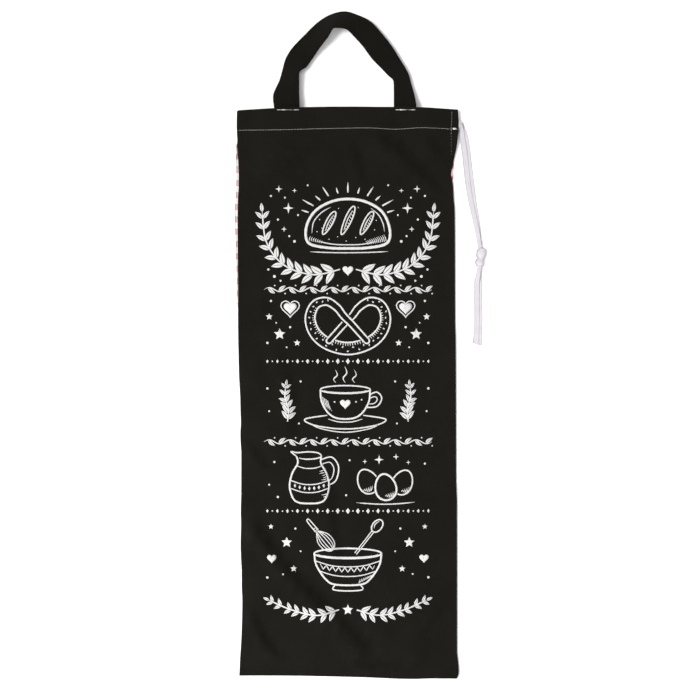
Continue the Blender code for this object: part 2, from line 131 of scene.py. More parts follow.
# The broad low creases, as (x, y) to (x, y), half width, height.
CREASES = metres((
    (31, 239, 116, 182, 9, -1.3), (82, 236, 118, 205, 6, -0.8), (4, 224, 85, 166, 12, 0.9),
    (-75, 234, -72, 196, 8, -0.9), (-72, 196, -116, 150, 9, -0.7), (-113, 52, -92, -22, 6, -0.7),
    (-105, 60, -80, 10, 7, 0.6), (-122, -112, -90, -134, 7, -0.8), (-120, -158, -75, -190, 10, 0.7),
    (-75, -252, -49, -277, 8, -1), (-20, -315, 20, -355, 9, -1.3), (20, -355, 72, -372, 9, -1),
    (4, -310, 52, -342, 11, 1), (-112, -326, -83, -349, 8, -0.9), (77, -317, 112, -300, 8, 0.8),
    (60, -20, 108, -48, 12, -0.6), (50, -205, 110, -170, 13, 0.6),
))

# The y of the tape's middle inside the casings, at x.
TAPE_LINE = metres(((-130, 260), (90, 262.2), (102, 261.8), (112, 260.5), (119, 259), (125.6, 256.8)))
TAPE_DEPTH = CLOTH + GAP + TAPE_THICK / 2
TAPE_END_X = TAPE_LINE[-1][0]

# The strap's outer and inner edge, from its left foot to its right foot: (x, y, z, x, y, z).
ROOT = 1000 * (MOUTH_HEIGHT - CASING_STACK - GAP - STRAP_THICK / 2 - 0.0001)
HANDLE = metres((
    (-83.8, 252, ROOT, -55.2, 252, ROOT), (-83.9, 264, ROOT, -55.2, 264, ROOT),
    (-84.7, 272.5, ROOT, -55.2, 272.5, ROOT), (-85.7, 283.8, 5.2, -55.7, 290, 7),
    (-77.8, 304, 2.8, -55.7, 309.5, 8.8), (-72.5, 324, 2, -47.5, 317.2, 5.8),
    (-69, 331.8, 1.8, -44.1, 321.6, 5), (-62.2, 341.5, 1.5, -40.4, 327, 4.8),
    (-48, 356, 1.4, -32, 339.2, 8.6), (-34.4, 369, 1.4, -23.1, 350.5, 12.8), (-20, 377.6, 1.4, -15.4, 361.4, 15.2),
    (-4, 381.3, 1.6, -8.1, 361.2, 15.2), (10.8, 377.3, 2.4, -1.2, 359.5, 13.6), (26.3, 369.4, 3.6, 6.7, 352, 10.6),
    (39.6, 355.1, 4.2, 17, 340.8, 8.2), (50.4, 341.2, 4.2, 27.9, 326.2, 6.6), (60.3, 325.6, 4, 37.6, 316.3, 5.8),
    (69, 310.5, 3.8, 45.4, 308.2, 5.6), (72.6, 298, 4, 52.1, 300.6, 6), (76.2, 285, 5.2, 52.4, 287, 6.6),
    (78.1, 272.5, ROOT, 52.4, 272.5, ROOT), (78, 264, ROOT, 52.5, 264, ROOT), (77.8, 252, ROOT, 52.7, 252, ROOT),
))
HANDLE_CUP = 0.0022

# The free lengths of the drawstring, as (x, y, z, width) from where each starts.
EXIT_X, EXIT_Y = TAPE_END_X + GAP, 0.2527
FRONT_EXIT_Z = GAP + WRAP_GAP + 2 * WRAP_RADIUS - TAPE_DEPTH
FRONT_END = ((EXIT_X, EXIT_Y, FRONT_EXIT_Z, TAPE_WIDTH),) + metres((
    (127.8, 251, 7, 6), (128.9, 247.5, 5.3, 6), (129.8, 242.5, 3.7, 6), (131.2, 233.8, 3.1, 6.1),
    (133.4, 220.1, 2.8, 6.2), (135, 205.2, 2, 6.2), (137.3, 184, 2, 6), (141.1, 161, 2.1, 5.6),
    (146.5, 137, 2.6, 5.1), (149.3, 121, 3.8, 4.6), (151.1, 109.7, 5.2, 4.4),
))
BACK_END = ((EXIT_X, EXIT_Y, TAPE_DEPTH, TAPE_WIDTH),) + metres((
    (129, 251.1, 1.6, 6), (131.2, 246.8, 1.2, 6), (133, 242, 0.9, 6), (135, 233.8, 0.7, 6), (137.1, 220.1, 0.6, 6),
    (138.6, 205.2, 0.6, 6), (141.2, 184, 0.6, 6), (144.3, 161, 0.6, 5.6), (148.4, 137, 0.9, 5),
    (150.2, 121, 1.9, 4.6), (151.4, 109.7, 3.3, 4.4),
))
LEFT_TAIL = metres((
    (150, 87.2, 4.6, 4.4), (149, 80, 3.4, 5.2), (147.4, 69, 2.3, 6), (147.3, 50, 2, 6), (147.5, 30, 2, 6),
    (147, 14, 2, 6), (146.3, 1.2, 2, 7.2),
))
RIGHT_TAIL = metres((
    (150.2, 87.2, 2.7, 4.4), (150.2, 80, 1.3, 5.2), (150, 69, 0.7, 6), (150.1, 50, 0.6, 6), (150.6, 30, 0.6, 6),
    (150.3, 14, 0.6, 6), (150.4, 0.3, 0.6, 6.2),
))
EXIT_BLEND = 0.0090


def smooth(t):
    """0 to 1 with level ends."""
    t = min(max(t, 0.0), 1.0)
    return t * t * (3 - 2 * t)


def ramp(value, ends):
    """0 at the first of two ends, 1 at the other, and level at both."""
    start, end = ends
    return smooth((value - start) / (end - start))


def even(ends, count):
    """The values from one end to the other, in so many even steps."""
    return [ends[0] + (ends[1] - ends[0]) * k / count for k in range(count + 1)]


def bell(off, width):
    """1 at no offset, and fading away over a few widths."""
    return exp(-((off / width) ** 2))


def slope(rows, k, c):
    """The slope of column c at row k, level at a crest, so that the curve never overshoots the rows."""
    sides = [
        (rows[i + 1][c] - rows[i][c]) / (rows[i + 1][0] - rows[i][0]) for i in (k - 1, k) if 0 <= i < len(rows) - 1
    ]
    if sides[0] * sides[-1] <= 0:
        return 0.0
    mean = sum(sides) / len(sides)
    return copysign(min(abs(mean), 2 * abs(sides[0]), 2 * abs(sides[-1])), mean)


def through(rows, t):
    """The values of a table's other columns at t of its first one, on a smooth curve through its rows."""
    t = min(max(t, rows[0][0]), rows[-1][0])
    k = max(i for i in range(len(rows) - 1) if rows[i][0] <= t)
    here, after = rows[k], rows[k + 1]
    span = after[0] - here[0]
    s = (t - here[0]) / span
    return [
        here[c] * (1 + 2 * s) * (1 - s) ** 2
        + slope(rows, k, c) * span * s * (1 - s) ** 2
        + after[c] * s * s * (3 - 2 * s)
        + slope(rows, k + 1, c) * span * s * s * (s - 1)
        for c in range(1, len(here))
    ]


def at(rows, t):
    """A two-column table's value at t."""
    return through(rows, t)[0]


def resampled(rows, steps):
    """A table's rows with steps - 1 more between each two, on a smooth curve through them."""
    numbered = [(k, *row) for k, row in enumerate(rows)]
    return [through(numbered, k / steps) for k in range((len(rows) - 1) * steps + 1)]


def uneven(t, seed):
    """A smooth irregular signal along t metres, from about -1 to 1, with waves of 10 to 25 mm."""
    waves = ((1, 430, seed), (0.7, 617, 2.1 * seed + 1.3), (0.5, 259, 0.7 * seed + 4.2))
    return sum(size * sin(rate * t + shift) for size, rate, shift in waves) / 2.2


# ---------------------------------------------------------------- materials

YARN_PITCH = 0.00052
ALONG, ACROSS = (1, 0.12, 1), (0.12, 1, 1)  # the stretch of slubs along and across the cloth

# Linear colours.
BLACK_DARK = (0.0059, 0.0050, 0.0036)
BLACK_LIGHT = (0.0083, 0.0071, 0.0052)
BLACK_YARN = (0.0118, 0.0104, 0.0081)
BLACK_LINT = (0.0360, 0.0330, 0.0280)
STRAP_SHADE = 0.84
CHECK_RED = (0.42, 0.028, 0.055)
CHECK_WHITE = (0.85, 0.835, 0.825)
CHECK_SHADE = (0.62, 0.42, 0.43)
TAPE_WHITE = (0.636, 0.619, 0.645)
TAPE_SHADE = (0.599, 0.578, 0.610)
# the next two colours are painted shade, for the tape's grooves and for its edges
TAPE_GROOVE_SHADE = (0.50, 0.480, 0.515)
TAPE_EDGE_SHADE = (0.30, 0.285, 0.315)
# the threads' darker colours are painted shade in the grooves of their twist
THREAD_WHITE = (0.68, 0.67, 0.64)
THREAD_SHADE = (0.38, 0.37, 0.34)
TACK_WHITE = (0.95, 0.94, 0.92)
TACK_SHADE = (0.78, 0.77, 0.74)
INK_WHITE = (0.67, 0.67, 0.655)
INK_GREY = (0.38, 0.38, 0.37)

CHECK_PERIOD = 0.01409
CHECK_ROW = 0.20675
CHECK_LEFT = -0.1265
CHECK_SKEW = 0.0155


class Look:
    """A material in the making: its node tree and shader, and the cloth's own coordinates u and v, in metres."""

    def __init__(self, name, roughness, sheen=0.0, specular=0.12):
        self.material = bpy.data.materials.new(name)
        self.material.use_nodes = True
        self.tree = self.material.node_tree
        self.shader = self.tree.nodes["Principled BSDF"]
        self.shader.inputs["Roughness"].default_value = roughness
        self.shader.inputs["Sheen Weight"].default_value = sheen
        self.shader.inputs["Sheen Roughness"].default_value = 0.6
        self.shader.inputs["Specular IOR Level"].default_value = specular
        self.place = self.node("UVMap", uv_map="cloth").outputs[0]
        self.u, self.v, _ = self.node("SeparateXYZ", {0: self.place}).outputs

    def node(self, kind, inputs=None, **settings):
        """A shader node; an input is given a socket to link or a value."""
        item = self.tree.nodes.new("ShaderNode" + kind)
        for key, value in settings.items():
            setattr(item, key, value)
        for key, value in (inputs or {}).items():
            if isinstance(value, bpy.types.NodeSocket):
                self.tree.links.new(value, item.inputs[key])
            else:
                item.inputs[key].default_value = value
        return item

    def calc(self, operation, a, b=0.0, c=0.0):
        """The output of a Math node."""
        return self.node("Math", {0: a, 1: b, 2: c}, operation=operation).outputs[0]

    def times(self, a, b, plus=0.0):
        return self.calc("MULTIPLY_ADD", a, b, plus)

    def wave(self, along, length):
        """A sine of that wavelength."""
        return self.calc("SINE", self.times(along, 2 * pi / length))

    def mix(self, share, a, b):
        """The colour between a and b."""
        a, b = (end if isinstance(end, bpy.types.NodeSocket) else (*end, 1.0) for end in (a, b))
        return self.node("Mix", {0: share, 6: a, 7: b}, data_type="RGBA").outputs[2]

    def noise(self, scale, detail=2.0, stretch=(1, 1, 1)):
        """The value of a noise texture, from 0 to 1."""
        mapping = self.node("Mapping", {"Vector": self.place, "Scale": stretch})
        inputs = {"Vector": mapping.outputs[0], "Scale": scale, "Detail": detail}
        return self.node("TexNoise", inputs).outputs["Fac"]

    def spread(self, value, low, high, to_low=0.0, to_high=1.0):
        """value's part from low to high, spread from to_low to to_high."""
        inputs = {"Value": value, "From Min": low, "From Max": high, "To Min": to_low, "To Max": to_high}
        return self.node("MapRange", inputs).outputs[0]

    def weave(self):
        """(which yarn is on top, from -1 to 1, and the height of the yarns) of a plain weave."""
        top = self.times(self.wave(self.u, 2 * YARN_PITCH), self.wave(self.v, 2 * YARN_PITCH))
        return top, self.calc("POWER", self.calc("ABSOLUTE", top), 0.6)

    def finish(self, colour, height, depth, strength=1.0):
        """The material, with a colour, and bump of a height from 0 to 1 that is depth metres deep."""
        self.tree.links.new(colour, self.shader.inputs["Base Color"])
        bump = self.node("Bump", {"Height": height, "Strength": strength, "Distance": depth})
        self.tree.links.new(bump.outputs[0], self.shader.inputs["Normal"])
        return self.material


def black_cloth(name, shade):
    """A black plain weave, worn a little and with specks of lint; shade darkens it."""
    look = Look(name, 0.9, 0.02, 0.055)
    dark, light, yarn = (tuple(shade * part for part in black) for black in (BLACK_DARK, BLACK_LIGHT, BLACK_YARN))
    top, yarns = look.weave()
    slubs = look.noise(900, 3, ALONG)
    lint = look.spread(look.noise(1500, 1), 0.70, 0.80)
    tone = look.mix(look.spread(look.noise(26, 4), 0.30, 0.72), dark, light)
    tone = look.mix(look.spread(slubs, 0.50, 0.80, 0.0, 0.5), tone, yarn)
    tone = look.mix(look.spread(top, -0.6, 0.6, 0.0, 0.35), tone, yarn)
    tone = look.mix(look.times(lint, 0.35), tone, BLACK_LINT)
    height = look.times(yarns, 0.6, look.times(slubs, 0.25))
    height = look.times(look.noise(900, 3, ACROSS), 0.25, height)
    return look.finish(tone, height, 0.00022, 0.8)


def checked_cloth():
    """Red and white checks: a pair of stripes both ways, half red where only one of them is red."""
    look = Look("checked_woven_cloth", 0.85, 0.1)
    top, yarns = look.weave()
    row_start = look.times(look.calc("SUBTRACT", look.u, CHECK_LEFT), CHECK_SKEW, CHECK_ROW)
    ways = []
    for along, start in ((look.u, CHECK_LEFT), (look.v, row_start)):
        share = look.calc("FRACT", look.calc("DIVIDE", look.calc("SUBTRACT", along, start), CHECK_PERIOD))
        off = look.calc("ABSOLUTE", look.calc("SUBTRACT", share, 0.5))
        ways.append(look.mix(look.spread(off, 0.258, 0.242), CHECK_WHITE, CHECK_RED))
    warp, weft = ways
    tone = look.mix(look.spread(top, -0.5, 0.5, 0.25, 0.75), weft, warp)
    slubs = look.noise(700, 3, ALONG)
    tone = look.mix(look.spread(slubs, 0.35, 0.8, 0.0, 0.25), tone, CHECK_SHADE)
    return look.finish(tone, look.times(yarns, 0.7, look.times(slubs, 0.3)), 0.00022, 0.8)


def tape_cloth():
    """A soft white cotton tape in herringbone, with painted shade in its grooves and along its edges, heavier along
    one edge.
    """
    look = Look("white_woven_tape", 0.9, 0.04)
    twill = look.wave(look.calc("ADD", look.v, look.calc("ABSOLUTE", look.u)), 0.0011)
    yarns = look.calc("ABSOLUTE", look.wave(look.u, 0.0012))
    tone = look.mix(look.spread(look.noise(120, 3), 0.3, 0.7), TAPE_SHADE, TAPE_WHITE)
    # painted shade in the twill's grooves
    tone = look.mix(look.spread(twill, -1.0, -0.1, 0.45, 0.0), tone, TAPE_GROOVE_SHADE)
    # painted shade along both edges of the tape, heavier on one of them
    light_edge_shade = look.spread(look.u, -0.0022, -0.0030, 0.0, 0.12)
    heavy_edge_shade = look.spread(look.u, 0.0021, 0.0030, 0.0, 0.80)
    tone = look.mix(look.calc("ADD", light_edge_shade, heavy_edge_shade), tone, TAPE_EDGE_SHADE)
    height = look.times(twill, 0.30, look.times(look.noise(1600, 4), 0.5))
    return look.finish(tone, look.times(yarns, 0.25, height), 0.00025)


def thread(name, shade, light, sheen=0.2, specular=0.12):
    """A twisted sewing thread, with painted shade in the grooves of its twist."""
    look = Look(name, 0.85, sheen, specular)
    # painted shade where the twist sinks
    twist = look.spread(look.wave(look.calc("ADD", look.u, look.v), 0.0005), -1.0, 1.0)
    return look.finish(look.mix(twist, shade, light), twist, 0.00006)


def ink():
    """White screen print: it follows the weave and is worn through to the cloth in specks."""
    look = Look("white_screen_print", 0.7)
    yarns = look.weave()[1]
    thin = look.spread(look.times(look.noise(60), 0.25, look.noise(1150)), 0.80, 0.90)
    tone = look.mix(look.spread(yarns, 0.0, 0.5, 0.15, 0.0), INK_WHITE, INK_GREY)
    tone = look.mix(look.times(thin, 0.7), tone, BLACK_LINT)
    return look.finish(tone, yarns, 0.00012, 0.6)


BLACK = black_cloth("black_woven_cloth", 1.0)
STRAP_BLACK = black_cloth("black_strap_cloth", STRAP_SHADE)
CHECKED = checked_cloth()
TAPE = tape_cloth()
THREAD = thread("spun_thread", THREAD_SHADE, THREAD_WHITE)
TACK_THREAD = thread("spun_tack_thread", TACK_SHADE, TACK_WHITE)
DARK_THREAD = thread("spun_black_thread", BLACK_DARK, BLACK_YARN, 0.0, 0.05)
INK = ink()

# ---------------------------------------------------------------- making pieces


def new_piece(name, verts, faces, uvs, material, slot):
    """A smooth mesh that rides on the bag; uvs holds each vertex's place on its cloth, in metres."""
    mesh = bpy.data.meshes.new(name)
    mesh.from_pydata(verts, [], faces)
    layer = mesh.uv_layers.new(name="cloth")
    for loop in mesh.loops:
        layer.data[loop.index].uv = uvs[loop.vertex_index]
    mesh.shade_smooth()
    mesh.materials.append(material)
    piece = bpy.data.objects.new(name, mesh)
    bpy.context.scene.collection.objects.link(piece)
    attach(piece, "root")
    return piece


def thicken(piece, thickness, offset=-1):
    """Gives a surface its thickness, behind its face or, with an offset of 1, before it."""
    modifier = piece.modifiers.new("thickness", "SOLIDIFY")
    modifier.thickness = thickness
    modifier.offset = offset
    modifier.use_even_offset = offset < 0


def tube(rings, around, flip=False):
    """The faces of a closed tube of rings of points."""
    faces = []
    for j in range(rings - 1):
        for k in range(around):
            here, there, nxt = j * around, (j + 1) * around, (k + 1) % around
            face = (here + k, here + nxt, there + nxt, there + k)
            faces.append(face[:1] + face[:0:-1] if flip else face)
    first, last = tuple(range(around)), tuple(range((rings - 1) * around, rings * around))
    return faces + ([first, last[::-1]] if flip else [first[::-1], last])


def strap_rings(edges, thickness, around, detail=None):
    """The verts, faces and uvs of a flat band with rounded edges through (one edge, other edge) sections.

    detail(u, v, upper) is how far its face is raised at u across from the middle and v along, in metres.
    """
    count = len(edges)
    middles = [(a + b) / 2 for a, b in edges]
    verts, uvs, along = [], [], 0.0
    for j, (a, b) in enumerate(edges):
        along += (middles[j] - middles[j - 1]).length if j else 0.0
        reach = b - a
        up = reach.cross(middles[min(j + 1, count - 1)] - middles[max(j - 1, 0)]).normalized()
        for k in range(around):
            c, s = cos(2 * pi * k / around), sin(2 * pi * k / around)
            u = copysign(abs(c) ** 0.55, c) / 2
            h = copysign(abs(s) ** 0.45, s) * thickness / 2
            if detail and abs(u) < 0.49:
                h += detail(u * reach.length, along, s > 0)
            verts.append(middles[j] + reach * u + up * h)
            uvs.append((u * reach.length, along))
    return verts, tube(count, around, True), uvs


def joined(parts):
    """Several (verts, faces, uvs) as one."""
    verts, faces, uvs = [], [], []
    for more_verts, more_faces, more_uvs in parts:
        faces += [tuple(len(verts) + k for k in face) for face in more_faces]
        verts += more_verts
        uvs += more_uvs
    return verts, faces, uvs


# ---------------------------------------------------------------- the drawstring's free lengths

UP = Vector((0, 0, 1))
TAPE_SHOWN = 0.0004  # the real tape's thickness; its solid is thicker
TAPE_SETTLES = 0.0009
TAIL_SLANT = 0.0011
TAIL_CUT = 0.006
NEAR_KNOT = 0.030
TAPE_HOLLOW, PULLED_HOLLOW = 0.00010, 0.00022
HOLLOW_WIDTH = 0.0026
KNOT_SHADED_EDGE = 0.0029  # where the knot's outline lies across its tape, so that the tape's painted edge shade darkens the outline, more on its left
KNOT_BAND = metres((
    (151.1, 111.2, 2.6, 4.2), (151.7, 107, 2.6, 6), (151.4, 99, 2.6, 6.6), (150.5, 92, 2.6, 5.2),
    (150, 86.2, 2.4, 4.2),
))
KNOT_BAND_THICK = 0.0030
# Where the tapes settle onto each other and into the knot: from one y or z, fully at the other.
SETTLE_LOW, SETTLE_HIGH, SETTLE_TOP = (0.0012, 0.0018), (0.0056, 0.0036), (0.2500, 0.2440)
KNOT_TOP, KNOT_FOOT = (0.1400, 0.1100), (0.0640, 0.0840)
KNOT_PRESS = 0.32
# The casing's open end lies pressed: the share of its height that it has lost, and from which x and y.
CASING_PRESS, PRESS_X, PRESS_Y = 0.50, (0.0850, 0.1230), (0.2000, 0.2240)


def band_sections(rows, steps, leaves_casing=False):
    """The (edge, edge) sections of a flat tape along (x, y, z, width) rows, and its middle points."""
    fine = [(Vector(row[:3]), row[3]) for row in resampled(rows, steps)]
    sections = []
    for j, (centre, width) in enumerate(fine):
        ahead = fine[min(j + 1, len(fine) - 1)][0] - fine[max(j - 1, 0)][0]
        side = Vector((-ahead.y, ahead.x, 0)).normalized()
        square = smooth((centre - fine[0][0]).length / EXIT_BLEND)
        if leaves_casing and square < 1:
            side = Vector((0, 1 / side.y, 0)).lerp(side, square)
        sections.append((centre + side * width / 2, centre - side * width / 2))
    return sections, [centre for centre, _ in fine]


def pressed(x, y, z):
    """The height of a point where the real casing's open end lies flatter than its solid."""
    return z * (1 - CASING_PRESS * ramp(x, PRESS_X) * ramp(y, PRESS_Y))


def path_length(points):
    return sum((b - a).length for a, b in zip(points, points[1:]))


def tape_detail(seed, narrow):
    """The tape's faint lengthwise hollows, deeper where it is drawn narrow."""

    def detail(u, v, upper):
        fold = cos(2 * pi * u / HOLLOW_WIDTH + 0.6 * sin(90 * v + seed))
        return (TAPE_HOLLOW + PULLED_HOLLOW * narrow(v)) * fold * (1 if upper else 0.4)

    return detail


def settled(row):
    """A row of a tape where the real one lies: the upper on the one below it, and both low in the knot."""
    x, y, z, width = row
    in_knot = ramp(y, KNOT_TOP) * ramp(y, KNOT_FOOT)
    drop = TAPE_SETTLES * ramp(z, SETTLE_LOW) * ramp(z, SETTLE_HIGH) * ramp(y, SETTLE_TOP) * (1 - in_knot)
    return x, y, pressed(x, y, z * (1 - KNOT_PRESS * in_knot) - drop), width


def free_tape(name, rows, seed, leaves_casing):
    """A free length of the tape, its middle points and its length; the tails are cut at a slant."""
    sections, middles = band_sections([settled(row) for row in rows], 8, leaves_casing)
    total = path_length(middles)
    if not leaves_casing:
        for j, (a, b) in enumerate(sections):
            slant = Vector((0, TAIL_SLANT * smooth(1 - path_length(middles[j:]) / TAIL_CUT), 0))
            sections[j] = (a - slant, b + slant)

    def narrow(v):
        return smooth(1 - (total - v if leaves_casing else v) / NEAR_KNOT)

    parts = strap_rings(sections, TAPE_SHOWN, 28, tape_detail(seed, narrow))
    return new_piece(name, *parts, TAPE, "white_tape"), middles, total


def lobe(centre, half_sizes, tilt, pleat, seed, rings=34, around=40):
    """One turn of the drawn-up tape: a soft pillow along its tilted axis, with pleats that run over it."""
    half_length, half_width, half_height = half_sizes
    across, along = Vector((cos(tilt), -sin(tilt), 0)), Vector((sin(tilt), cos(tilt), 0))
    verts, uvs = [], []
    for j in range(rings + 1):
        v = -cos(pi * j / rings)
        size = max(1 - abs(v) ** 2.6, 0.0) ** 0.42
        for k in range(around):
            turn = 2 * pi * k / around
            fold = 1 + pleat * sin(8.5 * v + 1.1 * sin(turn + seed) + seed) * (1 - v * v)
            out = across * cos(turn) * half_width + UP * sin(turn) * half_height
            verts.append(Vector(centre) + along * v * half_length + out * max(size * fold, 0.01))
            # u grows towards the outline, a fifth further on the left side, and so takes the tape's painted edge
            # shade there
            uvs.append((KNOT_SHADED_EDGE * hypot(cos(turn) * size, v) * (1 - 0.2 * cos(turn)), half_length * v))
    return verts, tube(rings + 1, around), uvs


def knot():
    """One overhand knot in both ends, drawn up tight: two turns of tape, and what comes out between them."""
    parts = (
        lobe((0.15220, 0.1044, 0.0027), (0.0070, 0.0054, 0.0024), 0.24, 0.05, 0.4),
        lobe((0.15045, 0.0941, 0.0026), (0.0047, 0.0049, 0.0023), -0.07, 0.05, 2.1),
        strap_rings(band_sections(KNOT_BAND, 5)[0], KNOT_BAND_THICK, 24, tape_detail(3.0, lambda v: 0.5)),
    )
    return new_piece("knot_of_tape", *joined(parts), TAPE, "white_tape")


KNOT = knot()
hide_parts("drawstring_knot")
for node, rows, seed, leaves_casing in (
    ("drawstring_end_front", FRONT_END, 0.3, True),
    ("drawstring_end_back", BACK_END, 1.7, True),
    ("drawstring_tail_left", LEFT_TAIL, 2.9, False),
    ("drawstring_tail_right", RIGHT_TAIL, 4.4, False),
):
    tape, middles, total = free_tape(node.replace("drawstring", "tape"), rows, seed, leaves_casing)
    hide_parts(node)

# ---------------------------------------------------------------- the two panels

SEAM_RADIUS = 0.00115  # of the turned edges
EDGE_BAND = 0.0140
EDGE_STEPS = (0.0, 0.00004, 0.00018, 0.00042, 0.00076, 0.00115, 0.0018, 0.0028, 0.0042, 0.0060, 0.0082, 0.0108)
MIDDLE_COLUMNS = 88
BODY_ROWS = 216
FOLD_ROWS = 12
BACK_INSET, INSET_ENDS = 0.0006, (0.0, 0.0012)  # the back's inset, and the roll over which it ends
BODY_REACH, BODY_BLEND = 0.0800, (HEM_END_Y, HEM_END_Y - 0.09)  # from a side to the level middle, below the casing
BULGE, BULGE_REACH, BULGE_Y = 0.72, 0.0250, (0.0200, -0.0400)
SEAM_PUCKER, PUCKER_START, PUCKER_REACH = 0.00034, (0.0012, 0.0047), 0.0100
LEFT_PUCKER_END, RIGHT_PUCKER_END = (0.1960, 0.2160), (0.1840, 0.2040)
CASING_RIPPLE, CASING_REACH, CASING_BAND = 0.00030, 0.0095, 0.035
LEFT_FADE, RIGHT_FADE = 0.012, 0.006
FACE_RIPPLE = 0.00022
GROOVE, GROOVE_WIDTH = 0.00034, 0.0008
SLIT_GROOVE, SLIT_GROOVE_WIDTH, SLIT_GROOVE_START, SLIT_BAND = 0.7 * GROOVE, 0.0009, 0.1860, 0.020
CHECK_EASE, CHECK_EASE_Y = 0.0046, (0.1830, 0.2170)
HEM_TURN = 0.0040
FOLD_MARGIN = 4.2  # how many half widths of a fold count
FOLD_END = 0.022
FOLD_DIP, LEAST_ROOM = 0.9, 0.00005  # the share of the cloth's rise that a fold may dip
FOLD_SIDES = ((-0.1260, -0.1120), (0.1245, 0.1125))
FOLD_FOOT, FOLD_TOP = (FOOT_Y, FOOT_Y + 0.010), (0.2480, 0.2340)
# The x of the stitches beside the slit, at y.
SLIT_STITCH = metres(((190, 118.2), (217, 118.2), (234, 118), (269, 118.8), (280, 119)))
# The casing's row of stitches wavers: its real y at x.
STITCH_LINE = metres((
    (-127, 244.9), (-77, 245.3), (-26.2, 246.6), (22.7, 247.4), (54.2, 245.9), (83.9, 247.6), (130, 246.1),
))
# The soft folds that stand out in the photograph: half width, half height, then the x and y of its points. Each
# steps down towards the left of its own way.
FOLDS = metres((
    (8.8, 3.9, 32, 252, 43, 234, 62, 220, 80, 202, 98, 187, 117, 172),
    (7.0, 3.0, 84, 246, 95, 233, 106, 223, 117, 211),
    (12.0, 2.7, -52, 236, -50, 220, -66, 202, -87, 193, -107, 184),
    (7.0, 1.6, 5, 238, 10, 217, 16, 194, 21, 174),
    (6.0, 0.83, -20, 227, -43, 222, -57, 211),
    (6.0, 0.93, 64, 69, 70, 45, 74, 22, 80, 0),
    (4.2, 0.83, 98, 18, 110, 10, 122, 0),
    (6.5, 0.74, -98, 102, -96, 68, -92, 34, -91, 0),
    (8.0, 1.7, -82, 0, -73, -23, -64, -54, -64, -86, -59, -118),
    (6.4, 2.1, -120, -105, -110, -116, -100, -129, -89, -147),
    (7.4, 2.0, -34, -126, -26, -143, -21, -166, -17, -191, -14, -223, -7, -257),
    (9.6, 4.2, -115, -193, -103, -208, -87, -232, -68, -255, -51, -273, -34, -292, -18, -306, -2, -321, 12, -337,
     32, -356),
    (7.2, 2.7, -111, -294, -105, -315, -96, -335, -83, -351, -71, -365),
    (6.4, 2.4, 0, -362, 16, -366, 37, -365, 62, -358),
    (6.0, 1.8, 96, -354, 80, -364, 66, -376),
    (7.0, 1.6, 122, -292, 105, -308, 88, -326, 71, -343),
    (4.6, 0.78, 114, -84, 102, -92, 88, -104),
))


def wrap_angle(y):
    """How far the left side turns down towards the seam: a quarter turn along the casing, 0 below it."""
    return pi / 2 * ramp(y, WRAP_Y)


def seam_height(y):
    """The height of the plane between the two panels at their edges."""
    lean = cos(wrap_angle(y))
    return GAP / 2 + CLOTH * lean + (WRAP_RADIUS + WRAP_GAP / 2) * (1 - lean)


def plumpness(x, y):
    """0 along the sewn edges, 1 over the level middle, with a rounded bulge along the lower left side."""
    from_left = x - at(LEFT_EDGE, y) - WRAP_RADIUS * sin(wrap_angle(y))
    reach = SIDE_REACH + (BODY_REACH - SIDE_REACH) * ramp(y, BODY_BLEND)
    bulge = 1 - min(from_left / BULGE_REACH, 1.0)
    share = BULGE * ramp(y, BULGE_Y) * (0.8 + 0.5 * uneven(y * 0.18, 4.6))
    left = share * (1 - bulge * bulge) + (1 - share) * smooth(from_left / reach)
    return left * smooth((at(RIGHT_EDGE, y) - x) / reach) * smooth((y - FOOT_Y) / FOOT_REACH)


def nearest(x, y, points):
    """(the offset, left of the way, the distance along it, the way's length) of a point beside an (x, y) path."""
    best, length = (9.0, 0.0, 0.0), 0.0
    for (x0, y0), (x1, y1) in zip(points, points[1:]):
        way_x, way_y = x1 - x0, y1 - y0
        reach = hypot(way_x, way_y)
        share = min(max(((x - x0) * way_x + (y - y0) * way_y) / reach**2, 0.0), 1.0)
        off_x, off_y = x - x0 - way_x * share, y - y0 - way_y * share
        off = hypot(off_x, off_y)
        if off < best[0]:
            best = (off, copysign(off, way_x * off_y - way_y * off_x), length + reach * share)
        length += reach
    return *best[1:], length


def crease_height(x, y):
    """The sum of the soft creases at a point of the front."""
    total = 0.0
    for x0, y0, x1, y1, half_width, height in CREASES:
        off = nearest(x, y, ((x0, y0), (x1, y1)))[0]
        if abs(off) < 3 * half_width:
            total += height * bell(off, half_width)
    return total


def fold_height(x, y):
    """The sum of the folds' steps at a point of the front, each fading at its ends."""
    total = 0.0
    for points, half_width, height, left, right, bottom, top in FOLD_BOXES:
        if not (left < x < right and bottom < y < top):
            continue
        off, run, length = nearest(x, y, points)
        end = min(FOLD_END, length / 2)
        t = off / (half_width * (1 + 0.25 * uneven(run * 0.6, 9 * half_width)))
        size = height * (1 + 0.3 * uneven(run * 0.8, height)) * smooth(run / end) * smooth((length - run) / end)
        total -= size * t * exp(0.5 - t * t / 2)
    return total


FOLD_BOXES = []
for half_width, step, *flat in FOLDS:
    xs, ys, margin = flat[::2], flat[1::2], FOLD_MARGIN * half_width
    box = (min(xs) - margin, max(xs) + margin, min(ys) - margin, max(ys) + margin)
    FOLD_BOXES.append((list(zip(xs, ys)), half_width, step, *box))


def rise(x, y):
    """How much higher the front's outer face is than its edges."""
    mouth = ramp(y, MOUTH_RISE)
    swell = BODY_HEIGHT + (MOUTH_HEIGHT - BODY_HEIGHT) * mouth - 2 * seam_height(y)
    return plumpness(x, y) * (swell + crease_height(x, y) * (1 - mouth))


def folds(x, y):
    """The folds, which stop at the casing, fade towards the seams and never dip as deep as the back."""
    left, right = (ramp(x, ends) for ends in FOLD_SIDES)
    fold = fold_height(x, y) * left * right * ramp(y, FOLD_FOOT) * ramp(y, FOLD_TOP)
    room = max(FOLD_DIP * rise(x, y), LEAST_ROOM)
    return fold if fold > 0 else -room * tanh(-fold / room)


